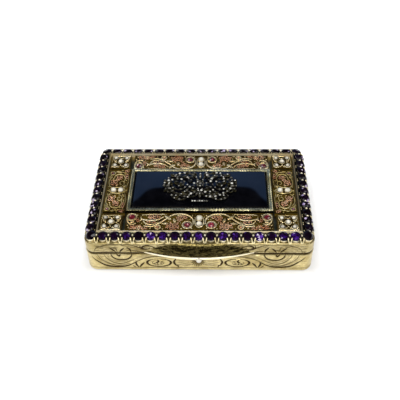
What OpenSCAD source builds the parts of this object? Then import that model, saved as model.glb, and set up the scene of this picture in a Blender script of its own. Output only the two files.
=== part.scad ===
// Jewelled snuff box: a shallow gilt box with a hinged lid. The lid carries a border of amethysts,
// filigree panels with pearls and garnets, and an onyx plaque with a diamond spray.
// Origin at the centre of the underside, +X to the right, +Y towards the hinge, +Z up. Millimetres.

/* [Box] */
// Outer width
box_w = 87.2; // [74:0.1:110]
// Outer depth, from the front to the hinge side
box_d = 54.7; // [50:0.1:80]
// Height of the body, from the underside to the seam
body_h = 9.8; // [6.5:0.1:20]
// Radius of the upright corners
corner_r = 4; // [2.8:0.1:5]
// Thickness of the base plate
base_t = 1.4; // [1.2:0.1:2.5]
// Radius of the base plate's lower edge
base_edge_r = 0.6; // [0.3:0.1:1.2]
// Thickness of the lid's wall
lid_wall_t = 1.2; // [0.8:0.1:1.6]

/* [Bezel inside the body] */
// Thickness of the inner bezel that the lid closes over
bezel_t = 0.7; // [0.5:0.1:1.2]
// Gap between the bezel and the lid's wall
bezel_clear = 0.25; // [0.2:0.05:0.5]
// Height of the bezel above the seam
bezel_rise = 1.5; // [0.8:0.1:2]
// Depth of the bezel below the seam
bezel_depth = 3; // [2:0.1:4.5]

/* [Lid] */
// Open seam between the body and the lid
seam_gap = 0.16; // [0.08:0.02:0.3]
// Height of the lid's wall
lid_wall_h = 4.6; // [3.8:0.1:8]
// Thickness of the lid plate
lid_plate_t = 0.8; // [0.5:0.1:1.5]
// Thickness of the lining plate inside the lid
lining_t = 0.5; // [0.4:0.1:0.8]
// Space between the lid plate and the lining
lining_drop = 1.3; // [1.1:0.1:1.8]
// Side clearance of plates that are let into a frame
fit_clear = 0.04; // [0.02:0.01:0.1]

/* [Hinge] */
// Number of knuckles, the end ones on the body
knuckle_count = 9; // [5:2:11]
// Length of one knuckle
knuckle_len = 6; // [4:0.5:6.5]
// Radius of the knuckles
knuckle_r = 1.3; // [1.1:0.05:1.6]
// Gap between neighbouring knuckles
knuckle_gap = 0.1; // [0.06:0.02:0.2]
// Distance of the hinge axis behind the back wall
axis_out = 1.1; // [0.9:0.05:1.2]
// Radius of the hinge pin
pin_r = 0.6; // [0.4:0.05:0.8]
// Radial running clearance of the pin
pin_clear = 0.04; // [0.02:0.01:0.08]
// Radius of the riveted heads on the pin
pin_head_r = 0.95; // [0.85:0.05:1.2]
// Length of a riveted head
pin_head_l = 0.4; // [0.3:0.1:0.8]
// Gap between the knuckles and the coves cut for them
cove_clear = 0.2; // [0.15:0.05:0.3]
// Solder film between a knuckle and its own bearer
solder_gap = 0.02; // [0.01:0.01:0.05]
// Reach of the bearer's stop face, measured from the hinge axis
stop_reach = 2.3; // [2:0.1:2.8]
// Height of a bearer on the back wall, measured from the hinge axis
bearer_h = 3; // [2.6:0.1:3.6]
// Angle that the lid opens to
open_angle = 100; // [90:1:105]
// Spare angle between the two stop faces when the lid is open
stop_spare = 1; // [0.5:0.5:3]

/* [Thumb piece] */
// Width of the crescent lip along the front
thumb_w = 40; // [30:1:56]
// Reach of the lip in front of the wall
thumb_out = 3; // [2:0.1:4]
// Distance from the top of the hollow to the setting gallery
thumb_top_gap = 0.2; // [0.1:0.1:1]
// Thickness of the lip below the hollow
lip_t = 0.5; // [0.4:0.1:1]
// Thickness of the hollow's upper rim, where it runs into the wall
hollow_rim = 0.05; // [0.03:0.01:0.1]
// Depth of the hollow below a straight slope
hollow_sag = 0.3; // [0.1:0.05:0.6]
// Radius of the bead on the lip
bead_r = 1.15; // [0.8:0.05:1.5]
// Distance of the bead's centre in front of the lip
bead_out = 0.55; // [0.3:0.05:0.7]
// Distance of the bead's centre below the lip's underside
bead_drop = 0.4; // [0:0.05:0.5]

/* [Amethyst border] */
// Radius of a stone
stone_r = 1.95; // [1.6:0.05:2.4]
// Least gap between neighbouring stones of the front and back
long_gap = 0.5; // [0.4:0.05:0.6]
// Least gap between neighbouring stones of the left and right
short_gap = 0.1; // [0.1:0.02:0.16]
// Distance of the stones' centres from the outer face
stone_inset = 2.4; // [1.6:0.05:2.8]
// Depth of a stone below its girdle
stone_pavilion = 1.35; // [1:0.05:1.8]
// Thickness of a stone's girdle
stone_girdle = 0.15; // [0.1:0.05:0.3]
// Height of a stone above its girdle
stone_crown = 0.85; // [0.5:0.05:1.2]
// Radius of a stone's table
stone_table_r = 1.15; // [0.8:0.05:1.5]
// Width of the ledge that a stone rests on
seat_ledge = 0.3; // [0.2:0.05:0.5]
// Gap between a stone and its seat
seat_clear = 0.02; // [0.01:0.01:0.06]
// Room below a stone's point
point_room = 0.35; // [0.2:0.05:0.8]
// Width of one arm of a claw
claw_w = 0.42; // [0.3:0.02:0.6]
// Distance of an arm's tip from the middle of its claw
claw_spread = 0.72; // [0.5:0.02:0.9]
// Height where the two arms part
claw_fork = 0.6; // [0.4:0.05:1]
// Thickness of a claw
claw_t = 0.45; // [0.3:0.05:0.6]
// Height of a claw's tips above the gallery
claw_rise = 0.4; // [0.2:0.05:0.8]
// Radius of the grains on the inner side of the stones
grain_r = 0.3; // [0.2:0.02:0.36]

/* [Border panels] */
// Width of the raised rail inside the stones
rail_w = 0.6; // [0.4:0.05:1]
// Gap between the stones and the rail
rail_clear = 0.3; // [0.05:0.05:0.3]
// Height of the rail above the gallery
rail_rise = 0.35; // [0.2:0.05:0.8]
// Width of the border between the rail and the onyx frame
border_w = 9.7; // [9:0.1:12]
// Gap around each panel
panel_gap = 0.4; // [0.2:0.05:0.8]
// Width of a corner plaque
plaque_w = 8.3; // [8:0.1:8.8]
// Gap between a corner plaque and the rail
plaque_gap = 0.3; // [0.2:0.05:0.5]
// Thickness of the panels' ground plates
panel_t = 1.15; // [0.8:0.05:1.5]
// Width of the wire that edges each panel
edge_w = 0.35; // [0.25:0.05:0.6]
// Height of the edging wire above the ground
edge_rise = 0.35; // [0.2:0.05:0.6]
// Height of the filigree above the ground
filigree_h = 0.5; // [0.3:0.05:0.8]
// Width of a filigree ribbon
ribbon_w = 0.45; // [0.3:0.05:0.6]
// Outer radius of a filigree scroll
scroll_r = 2.6; // [2:0.1:3]
// Inner radius of a filigree scroll
scroll_eye_r = 0.8; // [0.7:0.05:1]
// Turns in a filigree scroll
scroll_turns = 1.5; // [1:0.25:1.75]
// Distance between neighbouring scrolls
scroll_step = 6.4; // [6:0.1:9]
// Length of a filigree leaf
leaf_l = 5; // [4:0.1:6]
// Width of a filigree leaf
leaf_w = 2; // [1.4:0.1:2.6]
// Lean of a filigree leaf
leaf_turn = 60; // [40:5:80]

/* [Pearls and garnets] */
// Radius of the pearls in the double mounts
pearl_r = 1.2; // [0.9:0.05:1.3]
// Distance of each pearl from the middle of its double mount
pearl_off = 1.5; // [1.45:0.05:2]
// Radius of the pearl at the middle of a corner plaque
corner_pearl_r = 1.2; // [0.9:0.05:1.3]
// Radius of the four outer pearls of a corner plaque
petal_pearl_r = 0.9; // [0.7:0.05:1]
// Offset of the four outer pearls, along each side
petal_off = 2.3; // [2.1:0.05:2.6]
// Share of its radius that a pearl's centre stands above the ground
pearl_lift = 0.5; // [0.3:0.05:0.7]
// Radius of the large garnets
garnet_r = 1.35; // [1:0.05:1.5]
// Radius of the small garnets at the ends of the side panels
small_garnet_r = 0.8; // [0.6:0.05:1]
// Wall of a collet
collet_t = 0.35; // [0.25:0.05:0.5]
// Gap between a stone and its collet
collet_clear = 0.03; // [0.02:0.01:0.06]
// Distance of the inner garnets from the middle of the long panels
inner_garnet_x = 4.6; // [4.4:0.1:7]
// Offset of the inner garnets towards the outer edge
inner_garnet_y = 1.8; // [1:0.1:2]
// Distance of the end garnets from the ends of the long panels
end_garnet_in = 2.2; // [2.2:0.1:3]
// Offset of the end garnets towards the onyx
end_garnet_y = 2.3; // [1:0.1:2.3]
// Distance of the small garnets from the ends of the side panels
small_garnet_in = 1.6; // [1.6:0.1:2.4]
// Offset of the small garnets towards the outer edge
small_garnet_y = 2.9; // [1.6:0.1:2.9]

/* [Onyx plaque] */
// Width of the raised frame
frame_w = 1.9; // [1.2:0.1:3]
// Height of the frame above the lid plate
frame_h = 2.5; // [1.8:0.1:3.5]
// Height of the plaque above the lid plate
onyx_h = 2.75; // [2:0.05:4]
// Width of the plaque's bevelled edge
onyx_bevel_w = 1.6; // [0.6:0.1:2.5]
// Drop of the plaque's bevelled edge
onyx_bevel_h = 0.5; // [0.3:0.05:0.8]

/* [Diamond spray] */
// Height of the spray's underside above the plaque
spray_standoff = 0.7; // [0.4:0.1:1.5]
// Thickness of the openwork
spray_t = 0.9; // [0.6:0.1:1.4]
// Width of the openwork's bands
spray_band = 0.7; // [0.5:0.05:1]
// Offset of the spray's middle towards the hinge
spray_y = 0; // [-1:0.1:1.5]
// Radius of a rose-cut diamond
diamond_r = 0.5; // [0.35:0.05:0.6]
// Height of a rose-cut diamond
diamond_h = 0.5; // [0.3:0.05:0.8]
// Spacing of the diamonds along a band
diamond_step = 1.35; // [1.25:0.05:2]
// Share of that spacing that two diamonds keep at least
diamond_room = 0.9; // [0.85:0.05:1]
// Radius of the two posts that hold the spray
post_r = 0.45; // [0.3:0.05:0.55]
// Clearance around a post
post_clear = 0.06; // [0.04:0.01:0.15]
// Radius of the nuts on the posts
nut_r = 1.1; // [0.9:0.05:1.5]
// Height of a nut
nut_h = 0.9; // [0.6:0.05:1]

/* [Hidden] */
$fn = 64;

// Overlap of cutting shapes past the faces that they cut
cut_past = 1;

// Walls and heights
body_wall_t = lid_wall_t + bezel_clear;
lid_z = body_h + seam_gap;
plate_z = lid_z + lid_wall_h;
top_z = plate_z + lid_plate_t;
lining_z = plate_z - lining_drop - lining_t;

// Hinge
axis_y = box_d / 2 + axis_out;
axis_z = body_h + seam_gap / 2;
cove_r = knuckle_r + cove_clear;
knuckle_step = knuckle_len + knuckle_gap;
hinge_l = knuckle_count * knuckle_step - knuckle_gap;
stop_angle = (open_angle + stop_spare) / 2;

// Stone border
seat_r = stone_r - seat_ledge;
seat_drop = stone_pavilion * seat_ledge / stone_r;
girdle_rise = seat_drop + seat_clear;
gallery_h = stone_pavilion - girdle_rise + point_room;
gallery_z = top_z + gallery_h;
gallery_w = stone_inset + stone_r + rail_clear;
corner_in = (corner_r - stone_inset) * (1 - cos(45));
grain_in = gallery_w - grain_r - rail_clear;

// Border inside the rail
rail_in = gallery_w + rail_w;
frame_x = box_w / 2 - rail_in - border_w;
frame_y = box_d / 2 - rail_in - border_w;
panel_w = border_w - 2 * panel_gap;
plaque_in = rail_in + plaque_gap + plaque_w / 2;
ground_z = top_z + panel_t;

// Onyx and spray
onyx_x = frame_x - frame_w - fit_clear;
onyx_y = frame_y - frame_w - fit_clear;
onyx_top_z = top_z + onyx_h;
spray_z = onyx_top_z + spray_standoff;
spray_top_z = spray_z + spray_t;

// Loops of the openwork spray on its right half: middle along the box, across it, and radius
SPRAY_LOOPS = [[7, 0.6, 4.2], [12, -0.6, 2.7], [3.8, 5.2, 2.7], [5.2, -5.2, 2.5], [9.8, 5.4, 2.3]];
// Loops at the middle of the spray
SPRAY_MIDDLE = [[0, 0.4, 3.4], [0, -6.2, 2.9]];
post_x = SPRAY_LOOPS[0][0] + SPRAY_LOOPS[0][2];
post_y = spray_y + SPRAY_LOOPS[0][1];

SIDES = ["front", "back", "left", "right"];
CORNERS = ["front_left", "front_right", "back_left", "back_right"];
function is_long(side) = side == "front" || side == "back";
function side_turn(side) = side == "front" ? 0 : side == "right" ? 90 : side == "back" ? 180 : -90;
function side_reach(side) = (is_long(side) ? box_d : box_w) / 2;
function side_half(side) = (is_long(side) ? box_w : box_d) / 2;
function panel_half(side) = (is_long(side) ? frame_x : frame_y) - panel_gap;
function panel_mid(side) = (is_long(side) ? frame_y : frame_x) + border_w / 2;
function is_left(corner) = corner == "front_left" || corner == "back_left";
function is_front(corner) = corner == "front_left" || corner == "front_right";
function corner_x(corner) = (is_left(corner) ? -1 : 1) * (box_w / 2 - plaque_in);
function corner_y(corner) = (is_front(corner) ? -1 : 1) * (box_d / 2 - plaque_in);

// Stones along a side, with X along the side and the outer face towards -Y
function stone_span(side) = 2 * (side_half(side) - stone_inset - corner_in);
function stone_gap(side) = is_long(side) ? long_gap : short_gap;
function stone_steps(side) = floor(stone_span(side) / (2 * stone_r + stone_gap(side)));
function stone_pitch(side) = stone_span(side) / stone_steps(side);
function stone_x(side, i) = i * stone_pitch(side) - stone_span(side) / 2;
function is_corner(side, i) = i == 0 || i == stone_steps(side);
function stone_y(side, i) = stone_inset - side_reach(side) + (is_corner(side, i) ? corner_in : 0);
function stone_first(side) = is_long(side) ? 0 : 1;
function stone_last(side) = stone_steps(side) - stone_first(side);

// Shared shapes

// Rectangle with round corners
module round_rect(w, d, r) {
    square([w - 2 * r, d], center = true);
    square([w, d - 2 * r], center = true);
    for (sx = [-1, 1], sy = [-1, 1])
        translate([sx * (w / 2 - r), sy * (d / 2 - r)])
            circle(r);
}

// Upright band that follows the box's outline, from one inset to another
module outline_band(inset, t, z, h) {
    translate([0, 0, z])
        linear_extrude(h)
            difference() {
                round_rect(box_w - 2 * inset, box_d - 2 * inset, corner_r - inset);
                round_rect(box_w - 2 * (inset + t), box_d - 2 * (inset + t), corner_r - inset - t);
            }
}

// Square-cornered frame with the given half sizes of its outside
module square_frame(x, y, w, h) {
    linear_extrude(h)
        difference() {
            square([2 * x, 2 * y], center = true);
            square([2 * (x - w), 2 * (y - w)], center = true);
        }
}

// Turns a shape made for the front to another side
module on_side(side) {
    rotate([0, 0, side_turn(side)])
        children();
}

// Cylinder along the hinge axis, between two places along it
module hinge_rod(r, x0, x1) {
    translate([x0, axis_y, axis_z])
        rotate([0, 90, 0])
            cylinder(r = r, h = x1 - x0);
}

// Cove along the back walls for the knuckles
module hinge_cove() {
    hinge_rod(cove_r, -hinge_l / 2 - pin_head_l - cove_clear, hinge_l / 2 + pin_head_l + cove_clear);
}

// Rods at the places of every knuckle of one kind: first is 0 for the body's and 1 for the lid's
module knuckle_rods(first, r, extra) {
    for (i = [first:2:knuckle_count - 1]) {
        start = i * knuckle_step - hinge_l / 2;
        hinge_rod(r, start - extra, start + knuckle_len + extra);
    }
}

// Half sphere or more, standing flat on z = 0
module dome(r, lift) {
    intersection() {
        translate([0, 0, lift])
            sphere(r);
        translate([-r - cut_past, -r - cut_past, 0])
            cube([2 * (r + cut_past), 2 * (r + cut_past), lift + r + cut_past]);
    }
}

// Body

// Base plate with a rounded lower edge
module base_plate() {
    color("darkgoldenrod") {
        translate([0, 0, base_edge_r])
            linear_extrude(base_t - base_edge_r)
                round_rect(box_w, box_d, corner_r);
        linear_extrude(base_edge_r)
            round_rect(box_w - 2 * base_edge_r, box_d - 2 * base_edge_r, corner_r - base_edge_r);
        for (turn = [0, 180])
            rotate([0, 0, turn]) {
                base_edge_run(box_w, box_d);
                rotate([0, 0, 90])
                    base_edge_run(box_d, box_w);
                base_edge_corner(box_w, box_d);
                rotate([0, 0, 90])
                    base_edge_corner(box_d, box_w);
            }
    }
}

// Quarter round of the lower edge
module base_edge_profile() {
    intersection() {
        translate([0, base_edge_r])
            circle(base_edge_r);
        square(base_edge_r);
    }
}

// Straight run of the lower edge on the right of a rectangle
module base_edge_run(w, d) {
    translate([w / 2 - base_edge_r, d / 2 - corner_r, 0])
        rotate([90, 0, 0])
            linear_extrude(d - 2 * corner_r)
                base_edge_profile();
}

// Corner of the lower edge at the back right of a rectangle
module base_edge_corner(w, d) {
    translate([w / 2 - corner_r, d / 2 - corner_r, 0])
        rotate_extrude(angle = 90)
            translate([corner_r - base_edge_r, 0])
                base_edge_profile();
}

module body_wall() {
    color("goldenrod")
        difference() {
            outline_band(0, body_wall_t, base_t, body_h - base_t);
            hinge_cove();
        }
}

module body_bezel() {
    color("gold")
        outline_band(body_wall_t, bezel_t, body_h - bezel_depth, bezel_depth + bezel_rise);
}

// Hinge

// Bearer on the back wall, drawn for the lid: its stop face leans back from the hinge axis
module hinge_bearer(own_first) {
    difference() {
        translate([-hinge_l / 2, axis_y, axis_z])
            rotate([90, 0, 90])
                linear_extrude(hinge_l)
                    polygon([
                        [0, 0],
                        [stop_reach * cos(stop_angle), stop_reach * sin(stop_angle)],
                        [-axis_out, bearer_h],
                        [-axis_out, 0]
                    ]);
        hinge_rod(knuckle_r + solder_gap, -hinge_l / 2 - cut_past, hinge_l / 2 + cut_past);
        knuckle_rods(1 - own_first, cove_r, knuckle_gap);
    }
}

module body_hinge_bearer() {
    color("goldenrod")
        translate([0, 0, 2 * axis_z])
            mirror([0, 0, 1])
                hinge_bearer(0);
}

module lid_hinge_bearer() {
    color("goldenrod")
        hinge_bearer(1);
}

module knuckles(first) {
    difference() {
        knuckle_rods(first, knuckle_r, 0);
        hinge_rod(pin_r + pin_clear, -hinge_l / 2 - cut_past, hinge_l / 2 + cut_past);
    }
}

module body_knuckles() {
    color("gold")
        knuckles(0);
}

module lid_knuckles() {
    color("gold")
        knuckles(1);
}

// Pin with a riveted head at each end
module hinge_pin() {
    color("darkgoldenrod") {
        hinge_rod(pin_r, -hinge_l / 2, hinge_l / 2);
        hinge_rod(pin_head_r, -hinge_l / 2 - pin_head_l, -hinge_l / 2);
        hinge_rod(pin_head_r, hinge_l / 2, hinge_l / 2 + pin_head_l);
    }
}

// Lid

module lid_wall() {
    color("goldenrod")
        difference() {
            outline_band(0, lid_wall_t, lid_z, lid_wall_h);
            hinge_cove();
        }
}

module lid_plate() {
    color("darkgoldenrod")
        difference() {
            translate([0, 0, plate_z])
                linear_extrude(lid_plate_t)
                    round_rect(box_w, box_d, corner_r);
            post_bores(post_r + post_clear);
        }
}

// Plate that closes the lid from inside and hides the nuts
module lid_lining() {
    inset = lid_wall_t + fit_clear;
    color("gold")
        translate([0, 0, lining_z])
            linear_extrude(lining_t)
                round_rect(box_w - 2 * inset, box_d - 2 * inset, corner_r - inset);
}

// Thumb piece: a crescent lip below a hollow for the thumb
thumb_h = lid_wall_h + lid_plate_t - thumb_top_gap;
thumb_r = (thumb_w * thumb_w / 4 + thumb_out * thumb_out) / (2 * thumb_out);
thumb_mid_y = thumb_r - box_d / 2 - thumb_out;
slope_out = thumb_out + hollow_rim;
slope_rise = thumb_h - lip_t;
slope_l = norm([slope_out, slope_rise]);
hollow_r = (slope_l * slope_l / 4 + hollow_sag * hollow_sag) / (2 * hollow_sag);
hollow_off = (hollow_r - hollow_sag) / slope_l;
// Steps around the lip's large circle
LIP_STEPS = 720;

module thumb_lip() {
    color("khaki")
        intersection() {
            translate([0, thumb_mid_y, lid_z])
                rotate_extrude($fn = LIP_STEPS)
                    difference() {
                        translate([thumb_r - thumb_out - cut_past, 0])
                            square([thumb_out + cut_past, thumb_h]);
                        translate([
                            thumb_r - slope_out / 2 + hollow_off * slope_rise,
                            lip_t + slope_rise / 2 + hollow_off * slope_out
                        ])
                            circle(hollow_r);
                    }
            translate([-thumb_w, -box_d / 2 - thumb_out - cut_past, lid_z - cut_past])
                cube([2 * thumb_w, thumb_out + cut_past, thumb_h + 2 * cut_past]);
        }
}

// Bead seated on the front edge of the lip
module thumb_bead() {
    color("ivory")
        translate([0, -box_d / 2 - thumb_out - seat_clear, lid_z - bead_drop])
            rotate([90, 0, 0])
                dome(bead_r, bead_out);
}

// Amethyst border

// Ring of metal with a seat for every stone
module setting_gallery() {
    color("goldenrod")
        difference() {
            translate([0, 0, top_z])
                linear_extrude(gallery_h)
                    difference() {
                        round_rect(box_w, box_d, corner_r);
                        square([box_w - 2 * gallery_w, box_d - 2 * gallery_w], center = true);
                    }
            for (side = SIDES)
                at_stones(side)
                    translate([0, 0, top_z - cut_past])
                        cylinder(r = seat_r, h = gallery_h + 2 * cut_past);
        }
}

// Places of the stones of one side
module at_stones(side) {
    on_side(side)
        for (i = [stone_first(side):stone_last(side)])
            translate([stone_x(side, i), stone_y(side, i), 0])
                children();
}

module amethysts(side) {
    color("indigo")
        at_stones(side)
            translate([0, 0, gallery_z + girdle_rise])
                rotate_extrude()
                    polygon([
                        [0, -stone_pavilion],
                        [stone_r, 0],
                        [stone_r, stone_girdle],
                        [stone_table_r, stone_girdle + stone_crown],
                        [0, stone_girdle + stone_crown]
                    ]);
}

// Forked claws on the outer face and grains on the inner side, one of each at every gap
module claws(side) {
    claw_h = gallery_h + claw_rise;
    color("gold")
        on_side(side)
            for (i = [0:stone_steps(side) - 1])
                translate([(stone_x(side, i) + stone_x(side, i + 1)) / 2, -side_reach(side), top_z]) {
                    rotate([90, 0, 0])
                        linear_extrude(claw_t)
                            polygon([
                                [-claw_w / 2, 0],
                                [claw_w / 2, 0],
                                [claw_spread + claw_w / 2, claw_h],
                                [claw_spread - claw_w / 2, claw_h],
                                [0, claw_fork],
                                [claw_w / 2 - claw_spread, claw_h],
                                [-claw_w / 2 - claw_spread, claw_h]
                            ]);
                    translate([0, grain_in, gallery_h])
                        dome(grain_r, 0);
                }
}

// Bright rail between the stones and the panels
module border_rail() {
    color("gold")
        translate([0, 0, top_z])
            square_frame(box_w / 2 - gallery_w, box_d / 2 - gallery_w, rail_w, gallery_h + rail_rise);
}

// Border panels

// Places a shape at the middle of a side's panel, on the lid plate
module at_panel(side, z) {
    on_side(side)
        translate([0, -panel_mid(side), z])
            children();
}

// Ground plate edged with wire, with the given half sizes
module edged_plate(x, y) {
    translate([-x, -y, 0])
        cube([2 * x, 2 * y, panel_t]);
    translate([0, 0, panel_t])
        square_frame(x, y, edge_w, edge_rise);
}

module panel(side) {
    color("olive")
        at_panel(side, top_z)
            edged_plate(panel_half(side), panel_w / 2);
}

// Garnets of a panel as place and radius, drawn for the front
function garnets_of(side) = is_long(side)
    ? [for (sx = [-1, 1]) each [
        [sx * inner_garnet_x, -inner_garnet_y, garnet_r],
        [sx * (panel_half(side) - end_garnet_in), end_garnet_y, garnet_r]
    ]]
    : [for (sx = [-1, 1]) [sx * (panel_half(side) - small_garnet_in), -small_garnet_y, small_garnet_r]];

// Pearls of a panel's double mount
PEARL_PLACES = [[0, -pearl_off], [0, pearl_off]];

// Stretch of a panel's right half that the scrolls fill
function scroll_from(side) = (is_long(side) ? inner_garnet_x + garnet_r : pearl_r) + collet_t;
function scroll_to(side) = panel_half(side) - edge_w - (is_long(side) ? end_garnet_in + garnet_r : 0);
function scroll_count(side) = max(1, floor((scroll_to(side) - scroll_from(side)) / scroll_step));
function scroll_x(side, i) =
    scroll_from(side) + (i + 0.5) * (scroll_to(side) - scroll_from(side)) / scroll_count(side);

// Ribbon along a spiral, as an outline
SPIRAL_POINTS = 30;
function spiral_r(i) = scroll_r - ribbon_w / 2 - (scroll_r - ribbon_w / 2 - scroll_eye_r) * i / SPIRAL_POINTS;
function spiral_turn(i) = 360 * scroll_turns * i / SPIRAL_POINTS;
function spiral_edge(i, side_off) = (spiral_r(i) + side_off) * [cos(spiral_turn(i)), sin(spiral_turn(i))];

module scroll() {
    linear_extrude(filigree_h)
        polygon(concat(
            [for (i = [0:SPIRAL_POINTS]) spiral_edge(i, ribbon_w / 2)],
            [for (i = [SPIRAL_POINTS:-1:0]) spiral_edge(i, -ribbon_w / 2)]
        ));
}

// Pointed leaf between two arcs
module leaf() {
    arc_r = (leaf_l * leaf_l + leaf_w * leaf_w) / (4 * leaf_w);
    linear_extrude(filigree_h)
        intersection() {
            translate([0, arc_r - leaf_w / 2])
                circle(arc_r);
            translate([0, leaf_w / 2 - arc_r])
                circle(arc_r);
        }
}

// Scrolls, leaves and collets of one panel
module filigree(side) {
    color("rosybrown")
        at_panel(side, ground_z)
            difference() {
                union() {
                    for (sx = [0, 1], i = [0:scroll_count(side) - 1])
                        mirror([sx, 0, 0])
                            translate([scroll_x(side, i), 0, 0])
                                mirror([0, i % 2, 0])
                                    scroll();
                    for (sx = [0, 1], i = [1:1:scroll_count(side) - 1])
                        mirror([sx, 0, 0])
                            translate([(scroll_x(side, i - 1) + scroll_x(side, i)) / 2, 0, 0])
                                rotate([0, 0, leaf_turn])
                                    leaf();
                    for (g = garnets_of(side))
                        translate([g[0], g[1], 0])
                            cylinder(r = g[2] + collet_clear + collet_t, h = filigree_h);
                    for (p = PEARL_PLACES)
                        translate([p[0], p[1], 0])
                            cylinder(r = pearl_r + collet_clear + collet_t, h = filigree_h);
                }
                for (g = garnets_of(side))
                    translate([g[0], g[1], -cut_past])
                        cylinder(r = g[2] + collet_clear, h = filigree_h + 2 * cut_past);
                for (p = PEARL_PLACES)
                    translate([p[0], p[1], -cut_past])
                        cylinder(r = pearl_r + collet_clear, h = filigree_h + 2 * cut_past);
            }
}

module pearls(side) {
    color("ivory")
        at_panel(side, ground_z)
            for (p = PEARL_PLACES)
                translate([p[0], p[1], 0])
                    dome(pearl_r, pearl_lift * pearl_r);
}

module garnets(side) {
    color("crimson")
        at_panel(side, ground_z)
            for (g = garnets_of(side))
                translate([g[0], g[1], 0])
                    dome(g[2], 0);
}

// Corner plaques

// Pearls of a plaque as place and radius
PLAQUE_PEARLS = concat(
    [[0, 0, corner_pearl_r]],
    [for (sx = [-1, 1], sy = [-1, 1]) [sx * petal_off, sy * petal_off, petal_pearl_r]]
);

// Square plate with a collet for each of its five pearls
module plaque(corner) {
    color("darkkhaki")
        translate([corner_x(corner), corner_y(corner), top_z]) {
            edged_plate(plaque_w / 2, plaque_w / 2);
            for (p = PLAQUE_PEARLS)
                translate([p[0], p[1], panel_t])
                    difference() {
                        cylinder(r = p[2] + collet_clear + collet_t, h = filigree_h);
                        cylinder(r = p[2] + collet_clear, h = filigree_h + cut_past);
                    }
        }
}

module plaque_pearls(corner) {
    color("ivory")
        translate([corner_x(corner), corner_y(corner), ground_z])
            for (p = PLAQUE_PEARLS)
                translate([p[0], p[1], 0])
                    dome(p[2], pearl_lift * p[2]);
}

// Onyx plaque and spray

module onyx_frame() {
    color("khaki")
        translate([0, 0, top_z])
            square_frame(frame_x, frame_y, frame_w, frame_h);
}

// Section of the plaque across one direction, with its bevelled edges
module onyx_section(half) {
    polygon([
        [-half, 0],
        [half, 0],
        [half, onyx_h - onyx_bevel_h],
        [half - onyx_bevel_w, onyx_h],
        [onyx_bevel_w - half, onyx_h],
        [-half, onyx_h - onyx_bevel_h]
    ]);
}

module onyx_plaque() {
    color("black")
        difference() {
            translate([0, 0, top_z])
                intersection() {
                    translate([0, onyx_y, 0])
                        rotate([90, 0, 0])
                            linear_extrude(2 * onyx_y)
                                onyx_section(onyx_x);
                    translate([-onyx_x, 0, 0])
                        rotate([90, 0, 90])
                            linear_extrude(2 * onyx_x)
                                onyx_section(onyx_y);
                }
            post_bores(post_r + post_clear);
        }
}

// Upright bores for the two posts, right through the lid's top
module post_bores(r) {
    for (sx = [-1, 1])
        translate([sx * post_x, post_y, plate_z - cut_past])
            cylinder(r = r, h = spray_z - plate_z + 2 * cut_past);
}

// All loops of the spray, the middle ones first
ALL_LOOPS = concat(SPRAY_MIDDLE, [for (sx = [-1, 1], p = SPRAY_LOOPS) [sx * p[0], p[1], p[2]]]);

// Openwork of ring-shaped bands on two posts
module spray_frame() {
    color("dimgray") {
        translate([0, spray_y, spray_z])
            for (p = ALL_LOOPS)
                translate([p[0], p[1], 0])
                    rotate_extrude()
                        translate([p[2] - spray_band / 2, 0])
                            square([spray_band, spray_t]);
        for (sx = [-1, 1])
            translate([sx * post_x, post_y, plate_z - nut_h])
                cylinder(r = post_r, h = spray_z - plate_z + nut_h);
    }
}

// Places of the diamonds: evenly along every loop, without those that would crowd an earlier one
function loop_count(p) = floor(2 * PI * p[2] / diamond_step);
LOOP_SPOTS = [for (p = ALL_LOOPS, i = [0:loop_count(p) - 1])
    [p[0] + p[2] * sin(360 * i / loop_count(p)), p[1] + p[2] * cos(360 * i / loop_count(p))]];
diamond_least = diamond_step * diamond_room;
function is_free(i) =
    len([for (j = [0:1:i - 1]) if (norm(LOOP_SPOTS[i] - LOOP_SPOTS[j]) < diamond_least) j]) == 0;
DIAMOND_SPOTS = [for (i = [0:len(LOOP_SPOTS) - 1]) if (is_free(i)) LOOP_SPOTS[i]];

module spray_diamonds() {
    color("white")
        translate([0, spray_y, spray_top_z])
            for (spot = DIAMOND_SPOTS)
                translate([spot[0], spot[1], 0])
                    cylinder(r1 = diamond_r, r2 = diamond_r / 2, h = diamond_h);
}

// Nuts on the ends of the posts, inside the lid
module spray_nuts() {
    color("silver")
        difference() {
            for (sx = [-1, 1])
                translate([sx * post_x, post_y, plate_z - nut_h])
                    cylinder(r = nut_r, h = nut_h);
            for (sx = [-1, 1])
                translate([sx * post_x, post_y, plate_z - nut_h - cut_past])
                    cylinder(r = post_r + post_clear, h = nut_h + 2 * cut_past);
        }
}

base_plate();
body_wall();
body_bezel();
body_hinge_bearer();
body_knuckles();
hinge_pin();
lid_wall();
lid_plate();
lid_lining();
lid_hinge_bearer();
lid_knuckles();
thumb_lip();
thumb_bead();
setting_gallery();
border_rail();
for (side = SIDES) {
    amethysts(side);
    claws(side);
    panel(side);
    filigree(side);
    pearls(side);
    garnets(side);
}
for (corner = CORNERS) {
    plaque(corner);
    plaque_pearls(corner);
}
onyx_frame();
onyx_plaque();
spray_frame();
spray_diamonds();
spray_nuts();
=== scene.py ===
import math
import random

import bmesh
import bpy
import numpy as np
from mathutils import Matrix, Vector


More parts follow.
